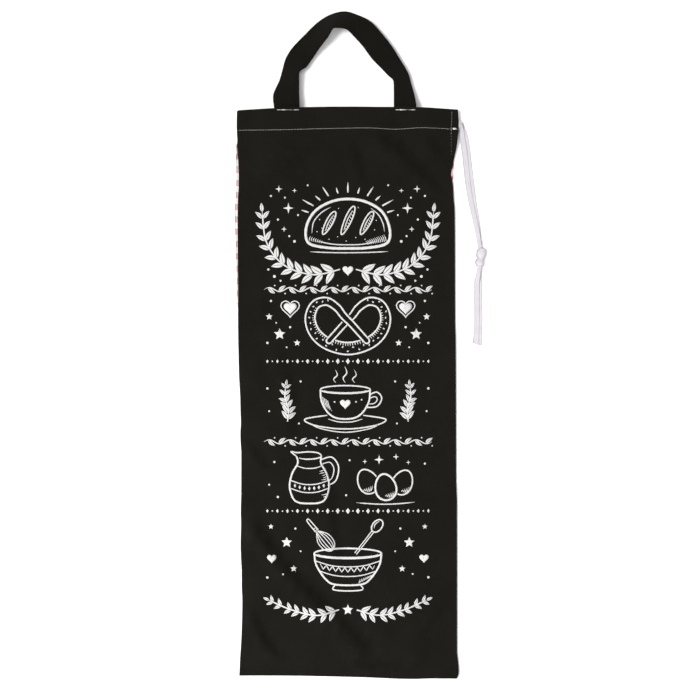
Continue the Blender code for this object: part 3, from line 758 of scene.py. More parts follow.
def true_y(x, y):
    """A row's real y at x, with the slant of the foot and the bow of the top edge."""
    foot = -FOOT_SLANT * sin(pi * x / (2 * HALF_WIDTH)) - at(FOOT_SAG, x)
    bow = -TOP_BOW * (x / HALF_WIDTH) ** 2
    near_foot = 1 - smooth((y - FOOT_Y) / END_FADE)
    near_top = 1 - smooth((HEM_END_Y - y) / END_FADE)
    return y + foot * near_foot + bow * near_top + TOP_LIFT * ramp(x, TOP_LIFT_X) * ramp(y, TOP_LIFT_Y)


def edge_drop(side, foot):
    """How far the cloth has turned in, at these distances from its side and foot edges."""
    reach = min(hypot(max(SEAM_RADIUS - side, 0.0), max(SEAM_RADIUS - foot, 0.0)), SEAM_RADIUS)
    return SEAM_RADIUS - sqrt(SEAM_RADIUS**2 - reach**2)


def details(x, y, from_left, from_right, side):
    """The small relief of a panel's outer face: seam puckers, the casing's ripples and the stitched grooves."""
    lift = 0.0
    is_front = side > 0
    seed = 0.0 if is_front else 2.4
    for off, ripple, share in (
        (from_left, uneven(y, 0.5 + seed), 1 - ramp(y, LEFT_PUCKER_END)),
        (from_right, uneven(y, 3.1 + seed), 1 - ramp(y, RIGHT_PUCKER_END)),
        (y - FOOT_Y, uneven(x, 5.2 + seed), 1.0),
    ):
        if off < 3 * PUCKER_REACH:
            ripple = ripple if is_front else -0.5 - 0.5 * ripple
            lift += SEAM_PUCKER * ripple * share * ramp(off, PUCKER_START) * bell(off, PUCKER_REACH)
    above = true_y(x, y) - at(STITCH_LINE, x)
    if abs(above) < CASING_BAND:
        fade = smooth(from_left / LEFT_FADE) * smooth(from_right / RIGHT_FADE)
        ripple = uneven(x * 1.35 + 0.1 * above, 7.7 + seed) + 0.5 * uneven(x * 2.3 - 0.2 * above, 1.1)
        ripple = 0.8 * ripple if is_front else -0.3 * abs(ripple)
        lift += CASING_RIPPLE * fade * ripple * bell(above, CASING_REACH)
        lift -= GROOVE * bell(above, GROOVE_WIDTH) * (1 if is_front else 0.8)
    if y > SLIT_GROOVE_START and from_right < SLIT_BAND:
        lift -= SLIT_GROOVE * bell(x - at(SLIT_STITCH, y), SLIT_GROOVE_WIDTH)
    if is_front:
        ripple = uneven(x * 0.33 + y * 0.12, 2.2) + uneven(y * 0.27 - x * 0.2, 6.0)
        lift += FACE_RIPPLE * ripple * smooth(from_right / SLIT_BAND)
    return lift


def fine_rows():
    """The rows of a panel from the foot to the end of the hem, as (y, further y, depth under the face)."""
    ys = [FOOT_Y + d for d in EDGE_STEPS] + even((FOOT_Y + EDGE_BAND, STITCH_Y - 0.0090), BODY_ROWS)
    ys += [STITCH_Y - 0.0078 + 0.0012 * k for k in range(5)]
    ys += [STITCH_Y - 0.0024 + 0.00042 * k for k in range(18)]
    ys += [STITCH_Y + d for d in (0.0056, 0.0068, 0.0084, 0.0106, 0.0130, 0.0156, 0.0182, 0.0208)]
    rows = [(y, 0.0, 0.0) for y in ys]
    for angle in even((0, pi), FOLD_ROWS):
        rows.append((TOP_Y - FOLD_RADIUS, FOLD_RADIUS * sin(angle), FOLD_RADIUS * (1 - cos(angle))))
    rows += [(y, 0.0, CASING_STACK) for y in (0.2660, 0.2600, 0.2540, 0.2490)]
    return rows + [(y, 0.0, SEWN_STACK) for y in (STITCH_Y, HEM_END_Y)]


def panel(name, side, left_roll, right_roll, material, slot):
    """A panel's outer face, thickened; side is 1 for the front and -1 for the back."""
    verts, uvs = [], []
    rows = fine_rows()
    for y, further, depth in rows:
        angle, seam = wrap_angle(y), seam_height(y)
        rolls = [at(table, y) for table in (left_roll, right_roll)]
        if side < 0:  # the back keeps out of sight where it doesn't roll out
            rolls = [roll - BACK_INSET * (1 - ramp(roll, INSET_ENDS)) * cos(angle) for roll in rolls]
        left, right = at(LEFT_EDGE, y) - rolls[0], at(RIGHT_EDGE, y) + rolls[1]
        full = right - left + WRAP_RADIUS * (angle - sin(angle))
        middle = even((EDGE_BAND, full - EDGE_BAND), MIDDLE_COLUMNS)
        eased = CHECK_EASE * ramp(y, CHECK_EASE_Y) if side < 0 else 0.0
        v = further - eased + (y if depth < FOLD_RADIUS else TOP_Y + HEM_TURN)
        for s in (*EDGE_STEPS, *middle, *(full - d for d in reversed(EDGE_STEPS))):
            turn = max(angle - s / WRAP_RADIUS, 0.0)
            x = left + WRAP_RADIUS * (sin(angle) - sin(turn)) + max(s - WRAP_RADIUS * angle, 0.0)
            inward, fold = depth, 0.0
            if depth < CLOTH:
                inward += edge_drop(min(s, full - s), y - FOOT_Y)
                fold = folds(x, y) if side > 0 else 0.0
            if depth == 0 and not further:
                inward -= details(x, y, s, full - s, side)
            height = seam - WRAP_RADIUS * (1 - cos(turn)) + (rise(x, y) + fold if side > 0 else 0.0)
            z = pressed(x, y, seam + side * (height - inward * cos(turn)))
            verts.append((x + inward * sin(turn), true_y(x, y) + further, z))
            uvs.append((s + left, v))
    columns = len(verts) // len(rows)
    corners = [j * columns + i for j in range(len(rows) - 1) for i in range(columns - 1)]
    faces = [(a, a + 1, a + columns + 1, a + columns)[::side] for a in corners]
    piece = new_piece(name, verts, faces, uvs, material, slot)
    thicken(piece, CLOTH * 0.8)
    return piece


front = panel("front_cloth", 1, NO_ROLL, NO_ROLL, BLACK, "black_cloth")
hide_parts("front_panel")
back = panel("back_cloth", -1, LEFT_ROLL, RIGHT_ROLL, CHECKED, "checked_cloth")
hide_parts("back_panel")

# ---------------------------------------------------------------- the handle

HANDLE_STEPS = 9
HANDLE_AROUND = 56
HANDLE_ROWS = (-0.0100, 0.0100)  # its rows of stitches, from its middle
HANDLE_RIPPLE, ROW_RIPPLE, ROW_RIPPLE_WIDTH = 0.00012, 0.00010, 0.0030
ROW_GROOVE, ROW_GROOVE_WIDTH = 0.00022, 0.0007


def handle_sections(steps):
    return [(Vector(row[:3]), Vector(row[3:])) for row in resampled(HANDLE, steps)]


def handle_detail(u, v, upper):
    """The handle's faint ripples, and the grooves of its stitches."""
    lift = HANDLE_RIPPLE * uneven(v + 0.4 * u, 4.0 if upper else 8.0)
    for middle in HANDLE_ROWS:
        lift -= ROW_GROOVE * bell(u - middle, ROW_GROOVE_WIDTH)
        lift += ROW_RIPPLE * uneven(v * 1.8, middle * 900) * bell(u - middle, ROW_RIPPLE_WIDTH)
    return lift if upper else -lift


def handle_surface():
    """The handle's band, cupped where it stands on its edge."""
    edges = handle_sections(HANDLE_STEPS)
    verts, faces, uvs = strap_rings(edges, STRAP_THICK * 0.94, HANDLE_AROUND, handle_detail)
    for index, (u, _) in enumerate(uvs):
        outer, inner = edges[index // HANDLE_AROUND]
        width = (inner - outer).length
        share = min(max(u / width + 0.5, 0), 1)
        verts[index] += UP * HANDLE_CUP * abs(inner.z - outer.z) / width * sin(pi * share)
    return verts, faces, uvs


strap = new_piece("strap", *handle_surface(), STRAP_BLACK, "black_cloth")
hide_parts("handle")

# ---------------------------------------------------------------- the drawstring inside the casings

CASING_TAPE_STEPS = 70


def casing_tape_sections():
    """The tape's sections from the front's open end, around the left side and back inside the back's casing."""
    row_y = TAPE_LINE[0][1]
    left = at(LEFT_EDGE, row_y) + WRAP_RADIUS
    seam = seam_height(row_y)
    xs = even((TAPE_END_X, left), CASING_TAPE_STEPS)
    line = [(x, 2 * seam + rise(x, row_y) - TAPE_DEPTH) for x in xs]
    radius = WRAP_RADIUS - TAPE_DEPTH
    turns = [pi / 2 * k / 8 for k in range(1, 9)]
    line += [(left - radius * sin(a), 2 * seam - WRAP_RADIUS + radius * cos(a)) for a in turns[:-1]]
    line += [(left - radius * sin(a), WRAP_RADIUS - radius * cos(a)) for a in reversed(turns)]
    line += [(x, TAPE_DEPTH) for x in reversed(xs)]
    sections = []
    for x, z in line:
        y = at(TAPE_LINE, x)
        fall = (at(TAPE_LINE, x - 0.001) - at(TAPE_LINE, x + 0.001)) / 0.002
        breadth = TAPE_WIDTH * hypot(1, max(fall, 0.0))
        sections.append(tuple(Vector((x, true_y(x, y + breadth * s), pressed(x, y, z))) for s in (0.5, -0.5)))
    return sections


inner_rings = strap_rings(casing_tape_sections(), TAPE_SHOWN, 16)
inner_tape = new_piece("tape_in_casing", *inner_rings, TAPE, "white_tape")
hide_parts("drawstring_in_casing")

# ---------------------------------------------------------------- the white print on the front

# A line drawing of things for baking, in rows down the middle. It is drawn in millimetres, its points written as
# complex numbers, as strips: each a list of (point on one side, point on the other side). Then it is laid on the
# cloth.
THIN, LINE, OUTLINE, HEAVY = 1.25, 1.65, 2.1, 3.1
PRINT_STEP = 1.5
PRINT_LIFT = 0.00008
PRINT_THICK = 0.00012
PRINT_COLUMN = 2.6
TAPER = 9.0
VEIN = 0.45


def spline(points, closed=False):
    """Points about a step apart on a smooth curve through the given ones."""
    count = len(points)
    line = []
    for k in range(count if closed else count - 1):
        a, b, c, d = (points[m % count if closed else min(max(m, 0), count - 1)] for m in range(k - 1, k + 3))
        pieces = max(int(abs(c - b) / PRINT_STEP), 2)
        for t in (m / pieces for m in range(pieces)):
            bends = (2 * a - 5 * b + 4 * c - d) * t * t + (3 * b - a - 3 * c + d) * t**3
            line.append((2 * b + (c - a) * t + bends) / 2)
    return line if closed else line + [points[-1]]


def oval(centre, rx, ry, start=0, end=360):
    """Points on an oval, or on the part of it from start to end degrees."""
    count = max(int(radians(end - start) * max(rx, ry) / PRINT_STEP), 10)
    return [centre + complex(rx * cos(a), ry * sin(a)) for a in even((radians(start), radians(end)), count)]


def stroke(line, width, first=0.55, last=0.55, closed=False):
    """The strip of a drawn line; its width falls to the first and last shares of it at the ends."""
    count = len(line)
    total = sum(abs(b - a) for a, b in zip(line, line[1:]))
    strip, run = [], 0.0
    for k, point in enumerate(line):
        run += abs(point - line[k - 1]) if k else 0.0
        before, after = (k - 1, (k + 1) % count) if closed else (max(k - 1, 0), min(k + 1, count - 1))
        ahead = line[after] - line[before]
        half = width / 2 * (1 + 0.11 * uneven(0.0021 * run, point.real * 0.05 + width))
        for off, share in () if closed else ((run, first), (total - run, last)):
            half *= share + (1 - share) * smooth(off / min(TAPER, total / 2))
        side = 1j * half * ahead / abs(ahead)
        strip.append((point + side, point - side))
    return strip + strip[:1] if closed else strip


def curve(points, width, first=0.55, last=0.55, closed=False):
    return stroke(spline(points, closed), width, first, last, closed)


def both(*half):
    """The points of a shape's left half and their mirror images; one on the middle line isn't doubled."""
    return half + tuple(-p.conjugate() for p in half[::-1] if p.real)


def filled(outline, where=0):
    """The strip that fills a shape which can be seen whole from its middle."""
    outline = [point + where for point in outline]
    middle = sum(outline) / len(outline)
    strip = [(point, middle + (point - middle) * 0.02) for point in outline]
    return strip + strip[:1]


def dot(where, radius):
    return filled([rect(radius, pi * k / 6) for k in range(12)], where)


def leaf(base, tip, width, bend=0.0):
    """A filled leaf with its vein left bare: one strip for each half."""
    run = tip - base
    side = 1j * run / abs(run)
    halves = [[], []]
    for t in even((0, 1), 10):
        axis = base + run * t + side * bend * sin(pi * t)
        reach = width / 2 * sin(pi * t**0.8) ** 0.85 if 0 < t < 1 else 0.0
        bare = min(VEIN / 2, reach * 0.5) * (1 - 0.5 * t)
        for half, way in zip(halves, (side, -side)):
            half.append((axis + way * max(reach, 0.12), axis + way * bare))
    return halves


def inside(point, outline):
    """Whether a point is inside a closed outline."""
    hit = False
    for a, b in zip(outline, outline[1:] + outline[:1]):
        if (a.imag > point.imag) != (b.imag > point.imag):
            share = (point.imag - a.imag) / (b.imag - a.imag)
            hit ^= point.real < a.real + share * (b.real - a.real)
    return hit


def runs(items, hidden, least=3):
    """The unbroken runs of items that aren't hidden, of at least so many items."""
    parts = [[]]
    for item in items:
        if hidden(item):
            parts.append([])
        else:
            parts[-1].append(item)
    return [part for part in parts if len(part) >= least]


def moved(strips, where=0, scale=1.0, turn=0.0, mirror=False):
    """The strips, mirrored left to right if asked, then scaled, turned by degrees and moved."""
    spin = rect(scale, radians(turn))
    return [
        [tuple((-p.conjugate() if mirror else p) * spin + where for p in pair) for pair in strip]
        for strip in strips
    ]


def on_both_sides(strips):
    return strips + moved(strips, mirror=True)


def hatch(a, b, bend=0.0, width=1.0):
    """A short line that tapers off."""
    return curve((a, (a + b) / 2 + 1j * bend * (b - a) / abs(b - a), b), width, 0.9, 0.25)


def hatches(count, start, step, end, end_step, bend):
    """A row of hatches, from start to end, moved on by the steps."""
    return [hatch(start + k * step, end + k * end_step, bend) for k in range(count)]


def branch(points, count, length, width, tip_share=0.6):
    """A leafy twig: leaves on both sides of a stem, smaller towards its tip."""
    stem = spline(points)
    strips = [stroke(stem, LINE, 0.9, 0.4)]
    for k in range(count):
        t = 0.08 + 0.86 * k / (count - 1)
        spot = int(t * (len(stem) - 2))
        way = stem[spot + 1] - stem[spot]
        size = 1 - (1 - tip_share) * t
        for sign in (1, -1):
            out = way / abs(way) * complex(0.74, 0.68 * sign)
            out /= abs(out)
            start = stem[spot] + out * 1.2
            strips += leaf(start, start + out * length * size, width * size, -sign * 0.9 * size)
    way = stem[-1] - stem[-3]
    return strips + leaf(stem[-1], stem[-1] + way / abs(way) * length * tip_share, width * tip_share)


def vine(half_length=96, count=8, wave=2.3, bend=12.0):
    """A level wavy stem with a leaf in each bend and dots between."""

    def stem(x):
        return complex(x, wave * sin(pi * x / bend))

    strips = [stroke([stem(x) for x in even((-half_length, half_length), 160)], THIN, 0.3, 0.3)]
    for k in range(-count, count + 1):
        x = bend * (k + 0.5)
        if abs(x) < half_length - 4:
            up = 1 if sin(pi * x / bend) < 0 else -1
            strips += leaf(stem(x - 1), stem(x - 1) + complex(7.8, 6.6 * up), 4.0, 0.7 * up)
            strips.append(dot(complex(x + 6.3, -4.6 * up), 0.85))
    return strips


def lozenges(count=8, pitch=11.5):
    """A row of lozenges and dots."""
    strips = []
    for k in range(-count, count + 1):
        tall = 3.4 - 1.3 * abs(k) / count
        strips.append(filled((tall * 0.72, tall * 1j, -tall * 0.72, -tall * 1j), k * pitch))
        if k < count:
            strips.append(dot((k + 0.5) * pitch, 0.85))
    return strips


def heart(size):
    def edge(a):
        return complex(sin(a) ** 3, 0.81 * cos(a) - 0.31 * cos(2 * a) - 0.125 * cos(3 * a) - 0.06 * cos(4 * a))

    return [size * edge(pi * k / 14) for k in range(28)]


def star(size, points=5, waist=0.46):
    return [rect(size * (waist if k % 2 else 1), pi / 2 - pi * k / points) for k in range(2 * points)]


def loaf():
    """A round loaf with three cuts across its crown."""
    strips = [
        curve((-49-14j, -47+2j, -37+17j, -19+27j, 30j, 20+27j, 38+17j, 47+2j, 49-14j, 43-23j, 22-27j, -27.6j,
               -22-27j, -43-23j), HEAVY, closed=True),
        curve((-42-10j, -40+3j, -31+14j, -20+20.5j), THIN, 0.3, 0.3),
        curve((27+19j, 36+11j, 41+1j, 42.5-8j), THIN, 0.3, 0.3),
        curve((-36-19j, -18-22.6j, -23.4j, 18-22.6j, 35-19j), THIN, 0.3, 0.3),
        curve((-44-31.5j, -15-32.6j, 20-32.4j, 47-31.2j), THIN, 0.2, 0.2),
    ]
    for where, tilt, reach in ((-22+2j, 62, 15), (5j, 66, 18), (22+2j, 62, 15)):
        turns = [pi * k / 17 for k in range(34)]
        edge = [complex(reach * cos(a), 3.9 * sin(a) * (1 + 0.15 * cos(a))) for a in turns]
        cut = [stroke(edge, LINE, closed=True), curve((-reach * 0.7 - 0.4j, 0.7j, reach * 0.7 - 0.2j), THIN)]
        cut += [hatch(k * reach * 0.2 - 3j, k * reach * 0.2 + 1.6 - 0.6j, 0.2) for k in range(-3, 4)]
        strips += moved(cut, where, 1.0, tilt)
    strips += hatches(11, 44.5-19.5j, -2.1-0.35j, 41.5-11.5j, -2.1-0.75j, -0.8)
    strips += hatches(7, -45-18.5j, 2.3-0.5j, -43.4-13.2j, 2.3-0.9j, 0.6)
    for where in (-33+6j, -30-4j, -11+19j, -12-14j, 9-15j, 12+20j, 33+5j, 31-6j, -2-19j, -36-8j, 20-17j, -22-17j):
        strips.append(dot(where, 0.62))
    for k in range(-5, 6):  # rays over the loaf
        a, far = radians(90 - 13.5 * k), 44.5 if k % 2 else 49.5
        ray = [complex(1.32 * cos(a), sin(a)) * off for off in even((37.5, far), 4)]
        strips.append(stroke(ray, 1.9, 0.9, 0.25))
    return strips


def pretzel():
    """A pretzel: a rope's two outlines, broken where another stretch lies over it."""
    middle = spline(both(-22-19j, -13-9j, -4+1j, 5+10j, 13+20j, 25+27j, 38+23j, 44+8j, 39-9j, 24-22j, -28j))
    count = len(middle)
    half = [3.1 + 3.9 * sin(pi * k / (count - 1)) ** 2.2 for k in range(count)]
    level = [0.5 if k < 0.3 * count else 1.5 if k > 0.7 * count else 0.0 for k in range(count)]
    aheads = [middle[min(k + 1, count - 1)] - middle[max(k - 1, 0)] for k in range(count)]
    sides = [1j * ahead / abs(ahead) for ahead in aheads]

    def beside(k, share):
        return middle[k] + sides[k] * half[k] * share

    def covered(k, share):
        return any(
            abs(m - k) > 0.09 * count and level[m] > level[k] and abs(beside(k, share) - middle[m]) < half[m] + 0.6
            for m in range(count)
        )

    strips = []
    for way in (1, -1):
        for part in runs(range(count), lambda k: covered(k, way)):
            strips.append(stroke([beside(k, way) for k in part], 1.9, 0.8, 0.8))
    for end, near in ((0, 1), (-1, -2)):
        way = middle[end] - middle[near]
        cap = [middle[end] + 1j * way / abs(way) * rect(half[end], -pi * k / 10) for k in range(11)]
        strips.append(stroke(cap, 1.9, 1, 1))
    for k in range(6, count - 6, 2):
        if 0.26 < k / count < 0.74 and not covered(k, -0.86):
            strips.append(stroke([beside(k, share) for share in (-0.86, -0.64, -0.42)], 0.95, 0.9, 0.3))
    for k in range(4, count - 4, 4):
        share = sin(k * 2.4) * 0.34 + 0.14
        if half[k] > 4.3 and not covered(k, share):
            strips.append(stroke([beside(k, share) + m * rect(1.15, k * 1.7) for m in (-1, 0, 1)], 1.5, 0.8, 0.8))
    return strips


def cup():
    """A cup on its saucer, with steam."""
    strips = [
        stroke(oval(14j, 29, 4.6), LINE, 1, 1),
        stroke(oval(13.2j, 24.5, 2.9, 180, 360), THIN),
        curve(both(-29+14j, -27.5+0j, -20-13j, -9-19.5j), OUTLINE, 1, 1),
        curve((28.2+8j, 37+11j, 42.5+4j, 37-5.5j, 24.5-6.8j), LINE, 0.9, 0.9),
        curve((27.8+3.4j, 34.4+5.8j, 37.4+2.4j, 33.6-2.2j, 26.6-2.6j), THIN, 0.9, 0.9),
        curve(both(-21-16j, -47-20.5j, -38-27j, -16-31j, -31.8j), LINE, 0.7, 0.7),
        curve(both(-20-20.4j, -9-23.4j, -24j), THIN, 0.5, 0.5),
        curve(both(-43-24.6j, -28-31.6j, -35.8j), THIN, 0.4, 0.4),
        filled(heart(6.2), -2.5j),
    ]
    strips += [dot(complex(x, 0.012 * x * x - 2.2), 1.0) for x in (-12.5, 12.5, 19)]
    strips += hatches(4, -26.4+5.5j, 1.9-1.4j, -22.5-7.5j, 2.3-1.3j, -0.8)
    for x, tall in ((-11, 15), (0, 19), (11, 15)):
        waves = ((0, 0), (-2.6, 0.28), (1.8, 0.6), (-0.6, 1))
        strips.append(curve([complex(x + off, 22 + tall * share) for off, share in waves], LINE, 0.3, 0.2))
    return strips


def jug():
    """A milk jug with a banded belly."""
    strips = [
        curve((-15+25j, -13.5+17j, -20+5j, -23-10j, -19-24j, -12-29j, -30j, 12-29j, 19-24j, 23-10j, 20+5j,
               13.5+17j, 14+25j), OUTLINE, 1, 1),
        curve((-15+25j, -21.5+30.5j, -14+29.2j, -2+30.2j, 10+29j, 14+25j, 8+22.4j, -4+21.6j, -12+23j),
              LINE, 0.9, 0.5),
        curve((13.6+21j, 26+24j, 34+13j, 31-3j, 21.6-9j), LINE, 0.9, 0.9),
        curve((14.2+15.6j, 23.6+18j, 28.6+10.6j, 26.6+0.4j, 22.6-3.6j), THIN, 0.9, 0.9),
        curve(both(-22.2-3j, -10-7j, -8j), THIN, 1, 1),
        curve(both(-22.8-12j, -10-16.4j, -17.4j), THIN, 1, 1),
        curve(both(-15+14j, -7+11.4j, 10.8j), THIN, 0.8, 0.8),
    ]
    for x in (5.6 * k for k in range(-3, 4)):
        strips.append(filled((1.5, 2.4j, -1.5, -2.4j), complex(x, 0.012 * x * x - 12.6)))
    for k in (0, 1, 2, 3, 4, 5, 11, 12):  # the rest would lie on the band
        y = 9.0 - 2.5 * k
        edge = 23.0 - 0.0135 * (y + 10) ** 2
        strips.append(hatch(complex(edge - 1.4, y), complex(edge - 6.4 - 1.6 * sin(1.9 * k), y - 1.5), 0.3))
    return strips


def egg(where, wide, tall, tilt):
    turns = [pi * k / 22 for k in range(44)]
    shape = [complex(wide / 2 * cos(a) * (1 - 0.15 * sin(a)), tall / 2 * sin(a)) for a in turns]
    return [p * rect(1, radians(tilt)) + where for p in shape]


def eggs():
    """Three eggs, the one in front over the others, and sparkles."""
    strips = [stroke(egg(1-8j, 22, 28, 12), 2.0, closed=True)]
    grown = egg(1-8j, 23.5, 29.5, 12)
    for where, tilt in ((-18-2j, 28), (19-3j, -24)):
        other = egg(where, 21, 27, tilt)
        for part in runs(other + other[:1], lambda p: inside(p, grown)):
            strips.append(stroke(part, LINE, 0.9, 0.9))
    for where in (3-14j, -20-8j, 20-9j):
        for k in range(5):
            a, b = complex(5.2 - 1.9 * k, -4.2 - 0.9 * sin(k)), complex(7.0 - 2.0 * k, 1.6 - 0.8 * k)
            strips.append(hatch(where + a, where + b, -0.5))
    strips.append(curve((-30-24.5j, -8-26j, 12-25.8j, 32-24j), THIN, 0.2, 0.2))
    for size, where in ((5.2, -6+21j), (3.4, 12+24j), (2.6, -21+19j), (2.4, 25+18j)):
        strips.append(filled(star(size, 4, 0.30), where))
    return strips


def bowl():
    """A mixing bowl with a whisk and a wooden spoon in it."""
    rim = oval(12j, 40, 6)
    body = spline(both(-40+12j, -37.5-2j, -27-18j, -15-25j))
    zigzag = [complex(x, 0.0042 * x * x - 4.8 - 5.6 * (k % 2)) for k, x in enumerate(even((-33, 33), 18))]
    strips = [
        stroke(rim, 2.0, 1, 1),
        stroke(oval(11.2j, 35.5, 3.9, 180, 360), THIN),
        stroke(body, 2.2, 1, 1),
        curve(both(-15-25.5j, -17.5-31j, -32.6j), LINE, 0.9, 0.9),
        curve(both(-38.2+3j, -20-2.4j, -4j), THIN, 1, 1),
        curve(both(-33.6-9j, -17-14j, -15.4j), THIN, 1, 1),
        stroke([a + (b - a) * m / 3 for a, b in zip(zigzag, zigzag[1:]) for m in range(3)], THIN),
    ]
    strips += hatches(8, 13-23.6j, 2+1.15j, 14.2-18.6j, 2.3+0.9j, -0.3)
    whisk = [curve(both(0.8+16j, wide+4j, wide * 0.9 - 9j, -15j), 1.15, 1, 1) for wide in (2.0, 5.2, 8.4)]
    whisk.append(curve(both(-2.1+16j, -2.1+20j, -1.7+33j, 35j), 1.5, 1, 1))
    whisk += [hatch(-2 + y * 1j, 2 + y * 1j, 0, 1.1) for y in (17.6, 20.4)]
    spoon = [
        stroke(oval(34j, 5.6, 8.4), 1.7, 1, 1),
        stroke(oval(34.6j, 3.0, 5.4, 110, 250), THIN),
        curve((-1.4+26j, -1.2+12j, -1.3-8j), THIN, 1, 1),
        curve((1.4+26j, 1.2+12j, 1.3-8j), THIN, 1, 1),
    ]
    below = body + rim[len(rim) // 2:]
    for strip in moved(whisk, -27+27j, 0.95, 40) + moved(spoon, 14+18j, 1.0, -38):
        strips += runs(strip, lambda pair: inside(sum(pair) / 2, below), 2)
    return strips


def drawing():
    """The whole design: its middle row by row, then what stands on both sides of it."""
    strips = [filled(heart(6.2), 85j), filled(star(6.4), -303j)]
    for shape, where, scale in (
        (loaf, 137j, 0.98), (vine, 63j, 1), (pretzel, 23j, 0.98), (lozenges, -19j, 1), (cup, -3-65j, 0.98),
        (vine, -111j, 1), (jug, -44-152j, 0.98), (eggs, 42-154j, 1.08), (lozenges, -190j, 1), (bowl, -250j, 0.96),
    ):
        strips += moved(shape(), where, scale)
    for radius, where in ((1.3, -84-134j), (1.1, -90-160j), (1.4, -80-174j), (1.2, 2-132j), (1.2, -2-172j),
                          (1.3, 88-136j)):
        strips.append(dot(where, radius))
    sides = branch((-9+86j, -40+80j, -73+91j, -93+117j, -98+152j), 11, 17.0, 7.2)
    sides += moved(branch((-10-300j, -36-306j, -64-300j, -90-289j), 8, 12.5, 5.4), -3j)
    sides += moved(branch((-22j, 3-8j, 1+6j, 4+19j), 6, 11.5, 5.0), -72-66j, 1.0, 8)
    sides += moved([stroke(heart(10.6), THIN, closed=True)], 66+42j)
    for outline, rows in (
        (lambda size: star(size, 4, 0.28), ((6.4, 68+156j), (4.2, 79+178j), (2.8, 61+176j), (3.4, 73+132j))),
        (star, ((7.0, 78+12j), (4.0, 58+2j), (4.2, 90+32j), (6.4, 70-226j), (4.0, 62-256j), (3.2, 88-208j))),
        (heart, ((7.4, 66+42j), (5.4, 87-244j))),
    ):
        sides += [filled(outline(size), where) for size, where in rows]
    for radius, where in (
        (1.6, 61+118j), (1.2, 67+124j), (1.3, 80+143j), (1.1, 57+148j), (1.1, 72+168j), (1.2, 88+170j),
        (1.1, 46+182j), (1.7, 84+78j), (1.3, 91+86j), (1.2, 77+73j), (1.3, 66+20j), (1.3, 88+50j), (1.4, 92+2j),
        (1.0, 70-3j), (0.9, 82+25j), (1.4, 92-50j), (1.1, 90-76j), (1.2, 54-42j), (1.1, 56-90j), (1.3, 60-210j),
        (1.1, 74-262j), (1.4, 92-266j), (1.0, 54-236j),
    ):
        sides.append(dot(where, radius))
    return strips + on_both_sides(sides)


def surface_tree(piece):
    """The finished shape of a piece, for laying things on."""
    return BVHTree.FromObject(piece, bpy.context.evaluated_depsgraph_get())


def laid_on(tree, x, y, lift, from_below=False):
    """The point on a surface at x, y, seen from above or below, raised along its normal."""
    way = Vector((0, 0, 1 if from_below else -1))
    spot, normal, _, _ = tree.ray_cast(Vector((x, y, 0)) - way, way)
    if spot is None:
        return None
    return spot + (normal if normal.dot(way) < 0 else -normal) * lift


def print_mesh(strips, tree):
    """The strips laid on the cloth, each wide one in several columns so that it follows the folds."""
    verts, faces, uvs = [], [], []
    for strip in strips:
        columns = int(max(abs(a - b) for a, b in strip) / PRINT_COLUMN) + 1
        start = len(verts)
        turn = sum(((b - a).conjugate() * (c - a)).imag for (a, b), (c, _) in zip(strip, strip[1:]))
        for a, b in strip:
            for m in range(columns + 1):
                p = (a + (b - a) * m / columns) / 1000
                verts.append(laid_on(tree, p.real, p.imag, PRINT_LIFT))
                uvs.append((p.real, p.imag))
        for k in range(len(strip) - 1):
            for m in range(columns):
                i = start + k * (columns + 1) + m
                face = (i, i + 1, i + columns + 2, i + columns + 1)
                faces.append(face if turn > 0 else face[::-1])
    return verts, faces, uvs


FRONT_TREE = surface_tree(front)
artwork = new_piece("front_print", *print_mesh(drawing(), FRONT_TREE), INK, "white_print")
thicken(artwork, PRINT_THICK, 1)

# ---------------------------------------------------------------- stitching

STITCH_LENGTH = 0.0027
STITCH_PITCH = 0.0033
THREAD_RADIUS = 0.00019
STITCH_SIDES = 7
# A stitch's rings, with its ends sunk in the cloth: how far along it, radius, height over the cloth.
STITCH_RINGS = (
    (0.0, 0.35, -0.9), (0.10, 0.80, -0.2), (0.28, 1.0, 0.30), (0.5, 1.04, 0.42), (0.72, 1.0, 0.30),
    (0.90, 0.80, -0.2), (1.0, 0.35, -0.9),
)
STITCH_SLANT = 0.00012
CASING_ENDS, SLIT_ENDS = (-0.1244, 0.1246), (0.2720, 0.2180)
SLIT_X = 0.118
SLIT_ROW = {"pitch": 0.0034, "length": 0.0017}
SLIT_SUNK = (0.2330, 0.2480)  # the y over which the stitches beside the slit sink into the cloth
STRAP_ROW = {"pitch": 0.0030, "length": 0.0024}
STRAP_THREAD_RADIUS = 0.00024
CASING_POINTS, SLIT_POINTS = 120, 40
TACK_HEIGHT, TACK_RADIUS = 0.00022, 0.00028
FRAY_YARNS = 11


def stitch(start, end, up, radius):
    """One stitch from start to end."""
    reach = end - start
    side = up.cross(reach).normalized()
    verts, uvs = [], []
    for share, size, height in STITCH_RINGS:
        middle = start + reach * share + up * height * radius
        for a in (2 * pi * k / STITCH_SIDES for k in range(STITCH_SIDES)):
            verts.append(middle + (side * cos(a) + up * sin(a)) * radius * size)
            uvs.append((radius * size * a, share * reach.length))
    return verts, tube(len(STITCH_RINGS), STITCH_SIDES), uvs


